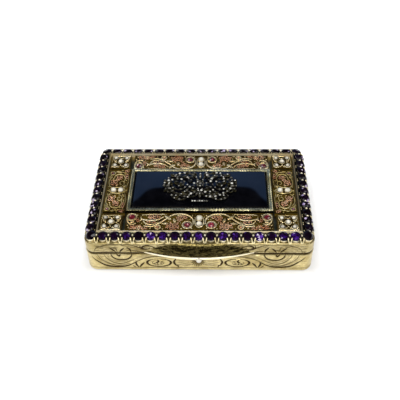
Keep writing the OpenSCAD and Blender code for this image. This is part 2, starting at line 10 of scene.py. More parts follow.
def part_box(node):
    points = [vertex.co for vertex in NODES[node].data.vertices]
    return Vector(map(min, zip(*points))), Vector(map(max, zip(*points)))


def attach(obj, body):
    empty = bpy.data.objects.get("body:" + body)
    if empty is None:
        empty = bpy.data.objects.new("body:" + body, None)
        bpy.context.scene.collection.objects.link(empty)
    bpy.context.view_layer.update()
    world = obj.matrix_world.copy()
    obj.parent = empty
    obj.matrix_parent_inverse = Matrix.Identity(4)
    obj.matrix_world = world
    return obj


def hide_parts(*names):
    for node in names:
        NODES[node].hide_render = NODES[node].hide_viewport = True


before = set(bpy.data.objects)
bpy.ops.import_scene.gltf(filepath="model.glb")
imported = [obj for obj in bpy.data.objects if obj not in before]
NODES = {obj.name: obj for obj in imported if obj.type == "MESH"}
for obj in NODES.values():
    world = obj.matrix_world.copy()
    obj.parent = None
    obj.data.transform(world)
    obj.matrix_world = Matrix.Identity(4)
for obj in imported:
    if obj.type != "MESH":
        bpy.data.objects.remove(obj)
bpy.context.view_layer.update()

# Shapes are worked out in millimetres and become metres when a piece is made
MM = 0.001
DICE = random.Random(7)

# Sides of the box, each turned from the front
TURNS = {"front": 0, "right": 90, "back": 180, "left": -90}
LONG_SIDES = ("front", "back")
SHORT_SIDES = ("left", "right")
CORNERS = ("front_left", "front_right", "back_left", "back_right")
HALVES = (-1, 1)


def along_across(side, pair):
    """A length along x and one along y, as seen with a side in front"""
    return (pair[0], pair[1]) if side in LONG_SIDES else (pair[1], pair[0])


def box_mm(node):
    """Lowest and highest corner of a frame node in millimetres"""
    low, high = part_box(node)
    return np.array(low) / MM, np.array(high) / MM


# Sizes read from the frame
WALL_LOW, WALL_HIGH = box_mm("body_wall")
HALF_W, HALF_D = WALL_HIGH[0], -WALL_LOW[1]
BASE_T, SEAM_LOW = WALL_LOW[2], WALL_HIGH[2]
LID_Z, PLATE_Z = box_mm("lid_wall")[0][2], box_mm("lid_plate")[0][2]
TOP_Z = box_mm("lid_plate")[1][2]
GALLERY_Z = box_mm("setting_gallery")[1][2]
GROUND_Z = box_mm("filigree_front")[0][2]
STONE_LOW, STONE_HIGH = box_mm("amethysts_left")
STONE_R = (STONE_HIGH[0] - STONE_LOW[0]) / 2
FRAME_HIGH = box_mm("onyx_frame")[1]
ONYX_HIGH = box_mm("onyx_plaque")[1]
SPRAY_HIGH = box_mm("spray_frame")[1]
LIP_LOW, LIP_HIGH = box_mm("thumb_lip")

# Sizes of the solids that the frame's boxes don't give
CORNER_R = 4.0
BODY_WALL_T, LID_WALL_T = 1.45, 1.2
STONE_PAVILION, STONE_GIRDLE, STONE_INSET = 1.35, 0.15, 2.4
LONG_STONES, SHORT_STONES = 19, 13
HINGE_HALF, HINGE_Y, HINGE_Z = 27.4, 28.45, 9.88
COVE_R, COVE_MARGIN = 1.5, 0.6
LIP_T, LIP_RISE, LIP_POWER = 0.5, 4.85, 1.5
PEARL_R, PEARL_OFF = 1.1, 1.5
PETAL_R, PETAL_OFF = 0.9, 2.3
GARNET_R, SMALL_GARNET_R = 1.35, 0.8
INNER_GARNET, END_GARNET, SMALL_GARNET = (4.6, -1.8), (26.05, 2.3), (10.4, -2.9)
SPRAY_T = 0.9
POST_X, POST_Y = 11.2, 0.6
GIRDLE_Z = STONE_LOW[2] + STONE_PAVILION

# Face tones that darken some metals and pearls, mostly as painted shade and on pearls as a duller tone: none
# at the first, all at the second
UNDARKENED, DARK = 0.5, 1.0


# Point sets

def polar(r, degrees, x=0.0, y=0.0):
    """Point at a distance and angle from another"""
    a = math.radians(degrees)
    return x + r * math.cos(a), y + r * math.sin(a)


def ring_points(r, count, turn, z, x=0.0, y=0.0):
    """Points evenly round a circle at a height"""
    return [(*polar(r, turn + 360 * k / count, x, y), z) for k in range(count)]


def turned(points, degrees):
    """Points turned about the vertical axis"""
    c, s = polar(1, degrees)
    points = np.asarray(points, float)
    out = points.copy()
    out[..., 0] = points[..., 0] * c - points[..., 1] * s
    out[..., 1] = points[..., 0] * s + points[..., 1] * c
    return out


def mirrored(points):
    """Points on the other side of x = 0"""
    out = np.array(points, float)
    out[..., 0] *= -1
    return out


def smooth(points, steps=9):
    """Rounded line through a few points"""
    p = np.asarray(points, float)
    p = np.vstack([2 * p[0] - p[1], p, 2 * p[-1] - p[-2]])
    t = np.linspace(0, 1, steps, endpoint=False)[:, None]
    out = []
    for a, b, c, d in zip(p[:-3], p[1:-2], p[2:-1], p[3:]):
        cubic = (3 * b - a - 3 * c + d) * t ** 3
        square = (2 * a - 5 * b + 4 * c - d) * t ** 2
        out.append((2 * b + (c - a) * t + square + cubic) / 2)
    out.append(p[-2][None])
    return np.vstack(out)


def arc(x, y, rx, ry, start, end, end_scale=1.0):
    """Part of an ellipse, or of a spiral where end_scale isn't 1; angles in degrees"""
    count = max(8, int(abs(end - start) / 9))
    t = np.linspace(0, 1, count)
    a = np.radians(start + (end - start) * t)
    scale = 1 + (end_scale - 1) * t
    return np.stack([x + rx * scale * np.cos(a), y + ry * scale * np.sin(a)], axis=1)


def raised(points, z):
    """Flat points lifted to a height"""
    points = np.asarray(points, float)
    return np.column_stack([points, np.full(len(points), z)])


def distances(path):
    """Distance of each point of a line from its start"""
    return np.r_[0, np.cumsum(np.linalg.norm(np.diff(path, axis=0), axis=1))]


def even_steps(path, step):
    """The same line at even steps, with the distance along it"""
    lengths = distances(path)
    run = np.linspace(0, lengths[-1], max(4, int(lengths[-1] / step)))
    return np.stack([np.interp(run, lengths, path[:, k]) for k in (0, 1)], axis=1), run


def tapered(count, start, middle, end):
    """Radii along a wire, thickest or thinnest a little before its middle"""
    return np.interp(np.linspace(0, 1, count), [0, 0.45, 1], [start, middle, end])


# Solid shapes, each as points and faces

def grid_faces(rows, columns, wrap=False):
    """Quads of a grid of points"""
    faces = []
    for r in range(rows - 1):
        for c in range(columns if wrap else columns - 1):
            d = (c + 1) % columns
            faces.append((r * columns + c, r * columns + d, (r + 1) * columns + d, (r + 1) * columns + c))
    return faces


def closing_faces(last, count):
    """Quads from the last ring of a grid back to its first"""
    return [(last + c, last + (c + 1) % count, (c + 1) % count, c) for c in range(count)]


def slab(half_x, half_y, low, high):
    """Upright box: its underside, its four sides and last its top"""
    corners = [(-half_x, -half_y), (half_x, -half_y), (half_x, half_y), (-half_x, half_y)]
    sides = [(k, (k + 1) % 4, 4 + (k + 1) % 4, 4 + k) for k in range(4)]
    return np.vstack([raised(corners, low), raised(corners, high)]), [(3, 2, 1, 0)] + sides + [(4, 5, 6, 7)]


def tube(path, radii, sides=8, closed=False, up=(0, 0, 1)):
    """Round wire along a path"""
    path = np.asarray(path, float)
    n = len(path)
    radii = np.broadcast_to(np.asarray(radii, float), n)
    if closed:
        along = np.roll(path, -1, axis=0) - np.roll(path, 1, axis=0)
    else:
        along = np.gradient(path, axis=0)
    along /= np.linalg.norm(along, axis=1)[:, None] + 1e-9
    side = np.cross(along, np.array(up, float))
    side /= np.linalg.norm(side, axis=1)[:, None] + 1e-9
    lift = np.cross(side, along)
    a = np.arange(sides) * 2 * math.pi / sides
    ring = side[:, None] * np.cos(a)[None, :, None] + lift[:, None] * np.sin(a)[None, :, None]
    points = (path[:, None] + ring * radii[:, None, None]).reshape(-1, 3)
    faces = grid_faces(n, sides, wrap=True)
    last = (n - 1) * sides
    if closed:
        faces += closing_faces(last, sides)
    else:
        faces += [tuple(reversed(range(sides))), tuple(last + c for c in range(sides))]
    return points, faces


def hoop(x, y, z, r, wire, stretch=1.0, sides=8):
    """Closed ring of wire lying flat, longer in y where stretch is above 1"""
    path = np.array(ring_points(r, 28, 0, z)) * (1, stretch, 1) + (x, y, 0)
    return tube(path, wire, sides, closed=True)


def bead(x, y, z, r, high=1.0, segments=10, rings=6):
    """Round grain; high below 1 makes it lower"""
    points = [(x, y, z - r * high)]
    for k in range(1, rings):
        e = math.pi * (k / rings - 0.5)
        points += ring_points(r * math.cos(e), segments, 0, z + r * high * math.sin(e), x, y)
    points.append((x, y, z + r * high))
    faces = []
    last = 1 + (rings - 2) * segments
    for c in range(segments):
        d = (c + 1) % segments
        faces.append((0, 1 + d, 1 + c))
        for low in range(1, last, segments):
            top = low + segments
            faces.append((low + c, low + d, top + d, top + c))
        faces.append((last + c, last + d, len(points) - 1))
    return np.array(points), faces


# How blunt a leaf's tips are, how much narrower its far end is, how its back falls, and its vein
LEAF_BLUNT, LEAF_TAPER, LEAF_FALL = 0.75, 0.25, 0.7
VEIN_DEEP, VEIN_WIDE = 0.45, 0.25


def leaf(x, y, z, length, width, degrees, height=0.4, rows=11, columns=7):
    """Pointed leaf with a hollow vein, swelling above its ground"""
    u = np.linspace(-1, 1, rows)[:, None] * np.ones(columns)
    v = np.linspace(-1, 1, columns)[None, :] * np.ones(rows)[:, None]
    half = width / 2 * (1 - u ** 2) ** LEAF_BLUNT * (1 - LEAF_TAPER * u)
    swell = (1 - v ** 2) * (1 - LEAF_FALL * u ** 2)
    vein = VEIN_DEEP * np.exp(-(v / VEIN_WIDE) ** 2)
    pz = z + height * (swell - vein * (1 - u ** 2))
    points = np.stack([u * length / 2, v * half, pz], axis=2).reshape(-1, 3)
    return turned(points, degrees) + (x, y, 0), grid_faces(rows, columns)


# Small open curls in the rose-coloured leaves; leaves wider than WIDE_LEAF hold two rows
CURL_STEP, CURL_SPREAD, CURL_REACH, CURL_STRAY = 1.5, 1.1, 0.45, 0.1
CURL_R, CURL_SQUASH, CURL_TURN, CURL_CLOSE = 0.66, 0.85, 310, 0.75
CURL_WIRE, CURL_LOW, CURL_HIGH = (0.14, 0.19, 0.12), 0.1, 0.3
WIDE_LEAF = 1.25


def small_curls(x, y, z, length, width, degrees):
    """Rows of small open rings along a leaf, as separate solids"""
    solids = []
    rows = 2 if width > WIDE_LEAF else 1
    steps = max(2, int(length / CURL_STEP))
    for k in range(steps):
        u = (k + 0.5) / steps * 2 - 1
        for row in range(rows):
            v = (row - (rows - 1) / 2) * CURL_SPREAD * (1 - 0.4 * u ** 2)
            stray = DICE.uniform(-CURL_STRAY, CURL_STRAY)
            spot = turned((u * length * CURL_REACH, v + stray, 0), degrees)
            start = DICE.uniform(0, 360)
            ring = arc(x + spot[0], y + spot[1], CURL_R, CURL_SQUASH * CURL_R,
                       start, start + CURL_TURN, CURL_CLOSE)[::2]
            path = np.column_stack([ring, z + np.linspace(CURL_LOW, CURL_HIGH, len(ring))])
            solids.append(tube(path, tapered(len(path), *CURL_WIRE), 6))
    return solids


def leaning(turn, degrees):
    """Matrix that leans a setting outwards, turned for the corner stones"""
    about = Matrix.Rotation(math.radians(turn), 3, "Z")
    lean = Matrix.Rotation(math.radians(degrees), 3, "X")
    return np.array(about @ lean @ about.transposed())


# Shares of a round stone's radius and crown: its table, and the points where kites and stars meet
TABLE_R, KITE_R, KITE_H = 0.56, 0.82, 0.52


def brilliant(r, turn):
    """Round cut stone: table, stars, kites, girdle and pavilion, about the middle of its girdle"""
    crown = STONE_HIGH[2] - GIRDLE_Z - STONE_GIRDLE
    table = STONE_GIRDLE + crown
    points = ring_points(TABLE_R * r, 8, turn, table)
    points += ring_points(KITE_R * r, 8, turn + 22.5, STONE_GIRDLE + KITE_H * crown)
    points += ring_points(r, 16, turn, STONE_GIRDLE)
    points += ring_points(r, 16, turn, 0)
    points += [(0, 0, -STONE_PAVILION), (0, 0, table)]
    faces = []
    for k in range(8):
        n = (k + 1) % 8
        b, g = 8 + k, 16 + 2 * k
        faces += [(k, n, 49), (k, b, n), (k, 8 + (k - 1) % 8, g, b)]
        faces += [(b, g, g + 1), (b, g + 1, 16 + (2 * k + 2) % 16)]
    for k in range(16):
        n = (k + 1) % 16
        faces += [(16 + k, 32 + k, 32 + n, 16 + n), (32 + k, 48, 32 + n)]
    return np.array(points), faces


# Rings of a rose cut: shares of its radius and height, and a turn in degrees
ROSE_RINGS = ((1.0, 0.0, 0), (1.0, 0.3, 0), (0.62, 0.75, 30))


def rose_cut(x, y, z, r, h, turn):
    """Small stone with a six-sided dome of facets"""
    points = []
    for ring_r, ring_h, shift in ROSE_RINGS:
        points += ring_points(ring_r * r, 6, shift + turn, z + ring_h * h, x, y)
    points.append((x, y, z + h))
    faces = [tuple(reversed(range(6)))]
    for k in range(6):
        n, p = (k + 1) % 6, (k - 1) % 6
        faces += [(k, n, 6 + n, 6 + k), (6 + k, 6 + n, 12 + k)]
        faces += [(6 + k, 12 + k, 12 + p), (12 + k, 12 + n, 18)]
    return np.array(points), faces


class Shape:
    """Gathers solids in millimetres and becomes one piece of the lid"""

    def __init__(self):
        self.points = []
        self.faces = []
        self.tints = []
        self.count = 0

    def add(self, solid, tints=UNDARKENED):
        """Takes a solid, with one tone for all its faces or a list of them"""
        points, faces = solid
        self.points.append(np.asarray(points, float))
        self.faces.extend(tuple(i + self.count for i in face) for face in faces)
        self.tints.extend(np.broadcast_to(tints, len(faces)).tolist())
        self.count += len(points)

    def both(self, solid, tints=UNDARKENED):
        """The solid and its mirror image"""
        self.add(solid, tints)
        points, faces = solid
        self.add((mirrored(points), [tuple(reversed(face)) for face in faces]), tints)

    def turn_into(self, degrees, x=0.0, y=0.0):
        """Turns everything gathered so far and moves it"""
        self.points = [turned(p, degrees) + (x, y, 0) for p in self.points]

    def piece(self, name, look, slot, replaces=(), facets=False, sharp=None):
        """Makes the piece, with flat facets or with edges that are sharp above an angle"""
        mesh = bpy.data.meshes.new(name)
        mesh.from_pydata((np.vstack(self.points) * MM).tolist(), [], self.faces)
        mesh.polygons.foreach_set("use_smooth", [not facets] * len(self.faces))
        mesh.attributes.new("tint", "FLOAT", "FACE").data.foreach_set("value", self.tints)
        work = bmesh.new()
        work.from_mesh(mesh)
        bmesh.ops.recalc_face_normals(work, faces=work.faces)
        work.to_mesh(mesh)
        work.free()
        if sharp:
            mesh.set_sharp_from_angle(angle=math.radians(sharp))
        ride_piece(mesh, look, "lid", replaces)


def ride_piece(mesh, look, body, replaces=()):
    """Object for a mesh, riding on a body"""
    piece = bpy.data.objects.new(mesh.name, mesh)
    bpy.context.scene.collection.objects.link(piece)
    piece.data.materials.append(MATERIALS[look])
    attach(piece, body)
    if replaces:
        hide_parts(*replaces)


# Shader nodes and materials

def srgb(red, green, blue):
    """Linear colour from values of 0 to 255"""
    out = []
    for value in (red, green, blue):
        v = value / 255
        out.append(v / 12.92 if v <= 0.04045 else ((v + 0.055) / 1.055) ** 2.4)
    return (*out, 1.0)


class Nodes:
    """Short ways to make and join shader nodes"""

    def __init__(self, tree):
        self.tree = tree

    def node(self, kind, inputs=None, **settings):
        """New node with its settings and inputs"""
        made = self.tree.nodes.new(kind)
        for key, value in settings.items():
            setattr(made, key, value)
        for key, value in (inputs or {}).items():
            self.put(made.inputs[key], value)
        return made

    def put(self, socket, value):
        """Links a socket or sets a plain value"""
        if isinstance(value, bpy.types.NodeSocket):
            self.tree.links.new(value, socket)
        else:
            socket.default_value = value

    def span(self, value, low, high, to_low=0.0, to_high=1.0):
        """A value mapped from one range to another"""
        made = self.node("ShaderNodeMapRange", {"Value": value, "From Min": low, "From Max": high,
                                                "To Min": to_low, "To Max": to_high})
        return made.outputs["Result"]

    def math(self, operation, a, b=0.0):
        return self.node("ShaderNodeMath", {0: a, 1: b}, operation=operation).outputs[0]

    def mix(self, factor, a, b):
        return self.node("ShaderNodeMix", {0: factor, 6: a, 7: b}, data_type="RGBA").outputs[2]

    def ramp(self, value, stops):
        """Colours along a value, with the first stop at 0 and the last at 1"""
        made = self.node("ShaderNodeValToRGB", {"Fac": value})
        elements = made.color_ramp.elements
        elements[0].color, elements[1].color = stops[0][1], stops[-1][1]
        for place, colour in stops[1:-1]:
            elements.new(place).color = colour
        return made.outputs["Color"]


class Paint(Nodes):
    """A material under construction"""

    def __init__(self, name):
        self.material = bpy.data.materials.new(name)
        self.material.use_nodes = True
        super().__init__(self.material.node_tree)
        self.shader = self.tree.nodes["Principled BSDF"]
        self.coord = self.node("ShaderNodeTexCoord").outputs["Object"]

    def noise(self, size_mm, detail=3.0, rough=0.55):
        """Cloudy pattern with clouds of about this size"""
        made = self.node("ShaderNodeTexNoise", {"Vector": self.coord, "Scale": 1 / (size_mm * MM),
                                                "Detail": detail, "Roughness": rough})
        return made.outputs["Fac"]

    def lines(self, long_mm, thin_mm):
        """Wavy lying lines, like fine engraving"""
        stretched = self.node("ShaderNodeMapping", {"Vector": self.coord, "Scale": (1, 1, long_mm / thin_mm)})
        made = self.node("ShaderNodeTexNoise", {"Vector": stretched.outputs["Vector"],
                                                "Scale": 1 / (long_mm * MM), "Detail": 3.0,
                                                "Roughness": 0.6, "Distortion": 1.2})
        return made.outputs["Fac"]

    def attribute(self, name):
        """Values stored on the mesh"""
        return self.node("ShaderNodeAttribute", attribute_name=name).outputs["Fac"]

    def soiled_and_shaded(self, dirt_and_shade):
        """Patina and painted shade from the recesses, or more where the tone of a face says so, which mostly
        paints shade
        """
        return self.math("MAXIMUM", dirt_and_shade, self.span(self.attribute("tint"), UNDARKENED, DARK))

    def recess(self, reach_mm):
        """1 in corners and hollows, 0 on open faces"""
        made = self.node("ShaderNodeAmbientOcclusion", {"Distance": reach_mm * MM}, samples=6)
        return self.span(made.outputs["AO"], 0.95, 0.35)

    def bump(self, height, strength, depth_mm):
        """Fine relief of the surface"""
        made = self.node("ShaderNodeBump", {"Height": height, "Strength": strength,
                                            "Distance": depth_mm * MM})
        self.put(self.shader.inputs["Normal"], made.outputs["Normal"])

    def set(self, **values):
        """Shader sockets by name, with _ for a space"""
        for key, value in values.items():
            self.put(self.shader.inputs[key.replace("_", " ")], value)


# Clouds, streaks, engraved lines and specks of the metals: sizes in mm, long and thin for the lines
CLOUD_MM, STREAK_MM, LINE_MM, SPECK_MM = 5.0, (3.2, 0.7), (1.6, 0.42), 0.5


def metal(name, tones, patina, rough, dirt_and_shade, grain, marks="", metallic=1.0, shine=0.5):
    """Old gilt metal: cloudy tone, patina and painted shade in the recesses and along its marks, fine grain
    and wear
    """
    paint = Paint(name)
    bright, deep = tones
    dirt_and_shade_mm, dirt_and_shade_share = dirt_and_shade
    grain_mm, grain_height = grain
    if marks == "streaked":
        cloud = paint.span(paint.lines(*STREAK_MM), 0.42, 0.6)
    else:
        cloud = paint.span(paint.noise(CLOUD_MM, 4), 0.35, 0.68)
    # Patina and painted shade in corners and hollows
    soil_and_shade = paint.math("MULTIPLY", paint.recess(dirt_and_shade_mm), dirt_and_shade_share)
    # Engraved lines, and the grooves and painted shade stored on the walls
    if marks == "groove_and_shade":
        cut = paint.span(paint.lines(*LINE_MM), 0.36, 0.6, 0.15, 1.0)
        cloud = paint.math("MULTIPLY", cloud, cut)
        soil_and_shade = paint.math("MAXIMUM", soil_and_shade, paint.attribute("groove_and_shade"))
    # Other marks darken by the face tones, mostly painted shade
    elif marks:
        soil_and_shade = paint.soiled_and_shaded(soil_and_shade)
    speck = paint.span(paint.noise(SPECK_MM, 3), 0.58, 0.8, 0.0, 0.35)
    soil_and_shade = paint.math("MAXIMUM", soil_and_shade, speck)
    tone = paint.mix(cloud, srgb(*deep), srgb(*bright))
    fine = paint.noise(grain_mm, 4, 0.65)
    paint.set(Base_Color=paint.mix(soil_and_shade, tone, srgb(*patina)), Metallic=metallic, Specular_IOR_Level=shine,
              Roughness=paint.span(fine, 0.3, 0.75, rough - 0.05, rough + 0.16))
    paint.bump(fine, grain_height, grain_mm * 0.25)
    return paint.material


def gem(name, stops, rough, cloud_mm, cloud_share, shine=0.5):
    """Cut stone whose facets each take a tone of their own from the tint, which paints their glow, their
    shade and their glints
    """
    paint = Paint(name)
    drift = paint.span(paint.noise(cloud_mm, 3), 0.3, 0.7, -cloud_share, cloud_share)
    tone = paint.math("ADD", paint.attribute("tint"), drift)
    colour = paint.ramp(tone, [(place, srgb(*rgb)) for place, rgb in stops])
    paint.set(Base_Color=colour, IOR=1.54, Specular_IOR_Level=shine,
              Roughness=paint.span(paint.noise(0.4, 2), 0.3, 0.7, rough, rough + 0.06))
    return paint.material


def pearl_paint():
    """Silvery white lustre with slow tone changes and painted shade in its contours"""
    paint = Paint("pearl")
    tone = paint.mix(paint.span(paint.noise(1.6, 3), 0.35, 0.65), srgb(190, 183, 164), srgb(232, 226, 210))
    # Painted shade where the pearl meets its setting, and a duller tone where its face tone says so
    soil_and_shade = paint.soiled_and_shaded(paint.math("MULTIPLY", paint.recess(0.9), 0.95))
    fine = paint.noise(0.25, 2)
    paint.set(Base_Color=paint.mix(soil_and_shade, tone, srgb(52, 42, 24)), IOR=1.6, Coat_Weight=0.8,
              Coat_Roughness=0.1, Roughness=paint.span(fine, 0.3, 0.7, 0.2, 0.32))
    paint.bump(fine, 0.08, 0.02)
    return paint.material


def onyx_paint():
    """Polished black stone with faint clouds"""
    paint = Paint("onyx")
    cloud = paint.span(paint.noise(6.0, 4), 0.4, 0.75)
    fine = paint.noise(0.8, 3)
    paint.set(Base_Color=paint.mix(cloud, srgb(3, 3, 5), srgb(12, 12, 16)), IOR=1.54, Coat_Weight=0.4,
              Coat_Roughness=0.02, Roughness=paint.span(fine, 0.3, 0.7, 0.03, 0.07))
    return paint.material


# Metals: bright and deep tone, tone of the patina and painted shade, roughness, patina and painted shade in
# recesses (reach in mm, share), grain (size in mm, height)
PATINA_AND_SHADE, SETTING_DIRT_AND_SHADE = (46, 34, 10), (22, 16, 6)
PALE_GOLD = ((250, 238, 196), (230, 212, 158))
WHITE_GOLD = ((255, 248, 222), (244, 230, 190))
MATERIALS = {
    "engraved": metal("engraved_gilt", ((218, 203, 154), (166, 149, 98)), (44, 31, 9),
                      0.27, (0.9, 0.45), (0.22, 0.3), "groove_and_shade"),
    "gilt": metal("plain_gilt", ((214, 199, 150), (160, 144, 96)), PATINA_AND_SHADE, 0.28, (0.9, 0.6), (0.22, 0.15)),
    "bright": metal("bright_gilt", PALE_GOLD, PATINA_AND_SHADE, 0.3, (0.6, 0.85), (0.15, 0.1)),
    "claw": metal("claw_gilt", PALE_GOLD, (26, 18, 7), 0.3, (0.6, 0.85), (0.15, 0.1), "tint"),
    "bed": metal("bed_gilt", ((240, 226, 178), (204, 186, 132)), SETTING_DIRT_AND_SHADE,
                 0.32, (0.8, 0.8), (0.15, 0.15), "tint"),
    "cup": metal("cup_gilt", WHITE_GOLD, SETTING_DIRT_AND_SHADE, 0.34, (0.4, 0.5), (0.15, 0.1), "tint"),
    "rail": metal("rail_gilt", ((255, 246, 216), (246, 226, 178)), (112, 88, 26),
                  0.3, (0.4, 0.4), (0.15, 0.1), "tint", metallic=0.35),
    # A paler gold that also paints highlights on the thumb rim and on the grains between the stones
    "rim": metal("rim_gilt", WHITE_GOLD, PATINA_AND_SHADE, 0.34, (0.4, 0.5), (0.15, 0.1), metallic=0.7),
    "wire": metal("filigree_gilt", ((255, 242, 200), (240, 212, 148)), PATINA_AND_SHADE,
                  0.24, (0.6, 0.95), (0.12, 0.15)),
    # A darker copy of the filigree gilt, as painted shade on the panels of the short sides
    "wire_in_painted_shade": metal("filigree_gilt_in_painted_shade", ((226, 206, 146), (186, 160, 92)), PATINA_AND_SHADE,
                      0.26, (0.6, 1.0), (0.12, 0.15)),
    "rose": metal("rose_gilt", ((255, 210, 166), (192, 130, 88)), (40, 16, 7),
                  0.24, (0.5, 1.0), (0.12, 0.2), "tint"),
    "antique": metal("antique_gilt", ((104, 82, 20), (52, 38, 6)), (12, 7, 1),
                     0.36, (0.8, 1.0), (0.18, 0.5), metallic=0.5, shine=0.08),
    "hammered": metal("hammered_gilt", ((246, 236, 188), (176, 164, 116)), (12, 10, 5),
                      0.24, (0.5, 0.9), (0.2, 0.3), "tint"),
    # Thumb hollow: a deep tone, a wide reach in recesses and face tones that paint the shade in it
    "hollow": metal("thumb_gilt", ((180, 162, 100), (54, 46, 22)), (10, 7, 2),
                    0.26, (2.5, 0.8), (0.5, 0.4), "streaked"),
    "silver": metal("dark_silver", ((62, 57, 38), (26, 24, 14)), (6, 6, 3), 0.34, (0.5, 0.95), (0.12, 0.2)),
    "inside": metal("inside_gilt", ((236, 216, 156), (218, 194, 128)), PATINA_AND_SHADE, 0.24, (1.5, 0.5), (0.4, 0.03)),
    "pearl": pearl_paint(),
    "onyx": onyx_paint(),
    "amethyst": gem("amethyst", [(0, (6, 2, 5)), (0.3, (23, 7, 30)), (0.6, (46, 16, 98)),
                                 (0.85, (92, 56, 150)), (1, (204, 190, 206))], 0.06, 1.2, 0.06, 0.2),
    "garnet": gem("garnet", [(0, (40, 8, 10)), (0.5, (106, 24, 34)), (0.8, (156, 40, 62)),
                             (1, (244, 206, 200))], 0.08, 0.9, 0.12),
    "diamond": gem("diamond", [(0, (26, 25, 20)), (0.5, (136, 133, 120)), (1, (255, 254, 246))],
                   0.05, 0.8, 0.1),
}


# Engraved walls

# Steps of the depth map, of a stroke within a map step, and of the wall's mesh
MAP_STEP, STROKE_STEP, WALL_STEP = 0.08, 0.6, 0.16
GROOVE_DEPTH, STROKE_TIP = 0.2, 0.35
BOLD, MEDIUM, FINE = 1.05, 0.68, 0.42
FAN_CUT, OVAL_CUT = 1.15, 1.2
LINE_DEPTH = {BOLD: 1.0, MEDIUM: 0.85, FINE: 0.65}
SHADE_POINTS = 40

# Dark line at the seam, raised line below it and thin line above the base
SEAM_SHADE, SEAM_DARK = 0.55, 1.2
EDGE_LINE, EDGE_RISE, EDGE_WIDE = 0.75, 0.14, 0.25
BASE_SHADE, BASE_DARK = 0.22, 0.75

# Darkening of the lid: a darker tone of its wall, and painted shade on its ledge in front and elsewhere, on
# its shoulder and on its top plate
LID_TONE, LEDGE_SHADE, SIDE_LEDGE_SHADE = 0.2, 0.4, 0.85
SHOULDER_SHADE, PLATE_SHADE = 0.8, 0.6
SHOULDER_H, SHOULDER_W = 0.8, 0.55

# Painted shade above the thumb hollow, which fades out towards its end, and short strokes of painted shade
# along its edge
HOLLOW_SHADE_DEPTH, HOLLOW_SHADE_REACH, HOLLOW_SHADE_END, HOLLOW_SHADE_FADE = 0.85, 1.1, 18.0, 4.0
RAGGED_STROKES, RAGGED_REACH, RAGGED_STEP = 150, 0.92, 0.8

# Places of the patterns along the sides
PATTERN_SHIFT = {"front": -0.5}
SHORT_SHIFT, LONG_CURLS, SHORT_CURLS = -18.4, 18.6, 1.6
BOWL_X, FAN_TOP = 29.3, 6.4

# Fine shading of the body and of the lid: lowest and highest place, strokes per mm and deepest cut
HATCH_STEP = 1.1
HATCHING = ((1.9, LID_Z, 4, 0.45), (LID_Z, 14.8, 14, 0.85))

# Points within this distance of the front face belong to the front
FRONT_EDGE = 0.5
SIDE_STRAIGHT = {side: along_across(side, (HALF_W, HALF_D))[0] - CORNER_R for side in TURNS}
SIDE_REACH = {side: along_across(side, (HALF_W, HALF_D))[1] for side in TURNS}
ARC_HALF = math.pi * CORNER_R / 4
OUTLINE_L = 4 * (HALF_W + HALF_D - 2 * CORNER_R) + 2 * math.pi * CORNER_R


def side_starts():
    """Where each side's middle lies along the outline, from the middle of the front"""
    starts, place, last = {}, 0.0, "front"
    for side in TURNS:
        if side != "front":
            place += SIDE_STRAIGHT[last] + 2 * ARC_HALF + SIDE_STRAIGHT[side]
        starts[side] = place
        last = side
    return starts


SIDE_MIDDLE = side_starts()


def from_middle(places, side):
    """Places along the outline, counted from the middle of a side"""
    return (places - SIDE_MIDDLE[side] + OUTLINE_L / 2) % OUTLINE_L - OUTLINE_L / 2


def outline(count):
    """Points and outward directions at even steps round the box"""
    points, outward = np.zeros((count, 2)), np.zeros((count, 2))
    places = np.arange(count) * OUTLINE_L / count
    for side, turn in TURNS.items():
        u = from_middle(places, side)
        straight = SIDE_STRAIGHT[side]
        here = np.abs(u) <= straight + ARC_HALF + 1e-6
        past = np.clip(np.abs(u[here]) - straight, 0, None) / CORNER_R
        sign = np.sign(u[here])
        x = np.clip(u[here], -straight, straight) + sign * CORNER_R * np.sin(past)
        y = -(SIDE_REACH[side] - CORNER_R + CORNER_R * np.cos(past))
        points[here] = turned(np.stack([x, y], axis=1), turn)
        outward[here] = turned(np.stack([sign * np.sin(past), -np.cos(past)], axis=1), turn)
    return points, outward


class Engraving:
    """Depth map of all four walls, cut stroke by stroke, which also holds painted shade above the thumb
    hollow
    """

    def __init__(self):
        self.columns = int(OUTLINE_L / MAP_STEP)
        self.rows = int((TOP_Z - BASE_T) / MAP_STEP) + 1
        self.depth = np.zeros((self.rows, self.columns))

    def stroke(self, side, points, width, depth):
        """A cut that starts and ends thin"""
        path, run = even_steps(np.asarray(points, float), MAP_STEP * STROKE_STEP)
        half = width / 2 * (STROKE_TIP + (1 - STROKE_TIP) * np.sin(np.pi * run / run[-1]))
        column = (SIDE_MIDDLE[side] + path[:, 0] + PATTERN_SHIFT.get(side, 0.0)) / OUTLINE_L * self.columns
        row = (path[:, 1] - BASE_T) / MAP_STEP
        reach = int(width / 2 / MAP_STEP) + 1
        for i in range(-reach, reach + 1):
            for k in range(-reach, reach + 1):
                c, r = np.floor(column).astype(int) + i, np.floor(row).astype(int) + k
                far = np.hypot(c - column, r - row) * MAP_STEP
                cut = depth * np.clip(1.5 - 1.5 * (far / half) ** 2, 0, 1)
                inside = (r >= 0) & (r < self.rows)
                np.maximum.at(self.depth, (r[inside], c[inside] % self.columns), cut[inside])

    def sample(self, columns, heights):
        """Depths at even steps round the box and at some heights"""
        c = (np.arange(columns) * self.columns // columns)[None, :]
        r = np.clip(((heights - BASE_T) / MAP_STEP).round().astype(int), 0, self.rows - 1)[:, None]
        return self.depth[r, c]


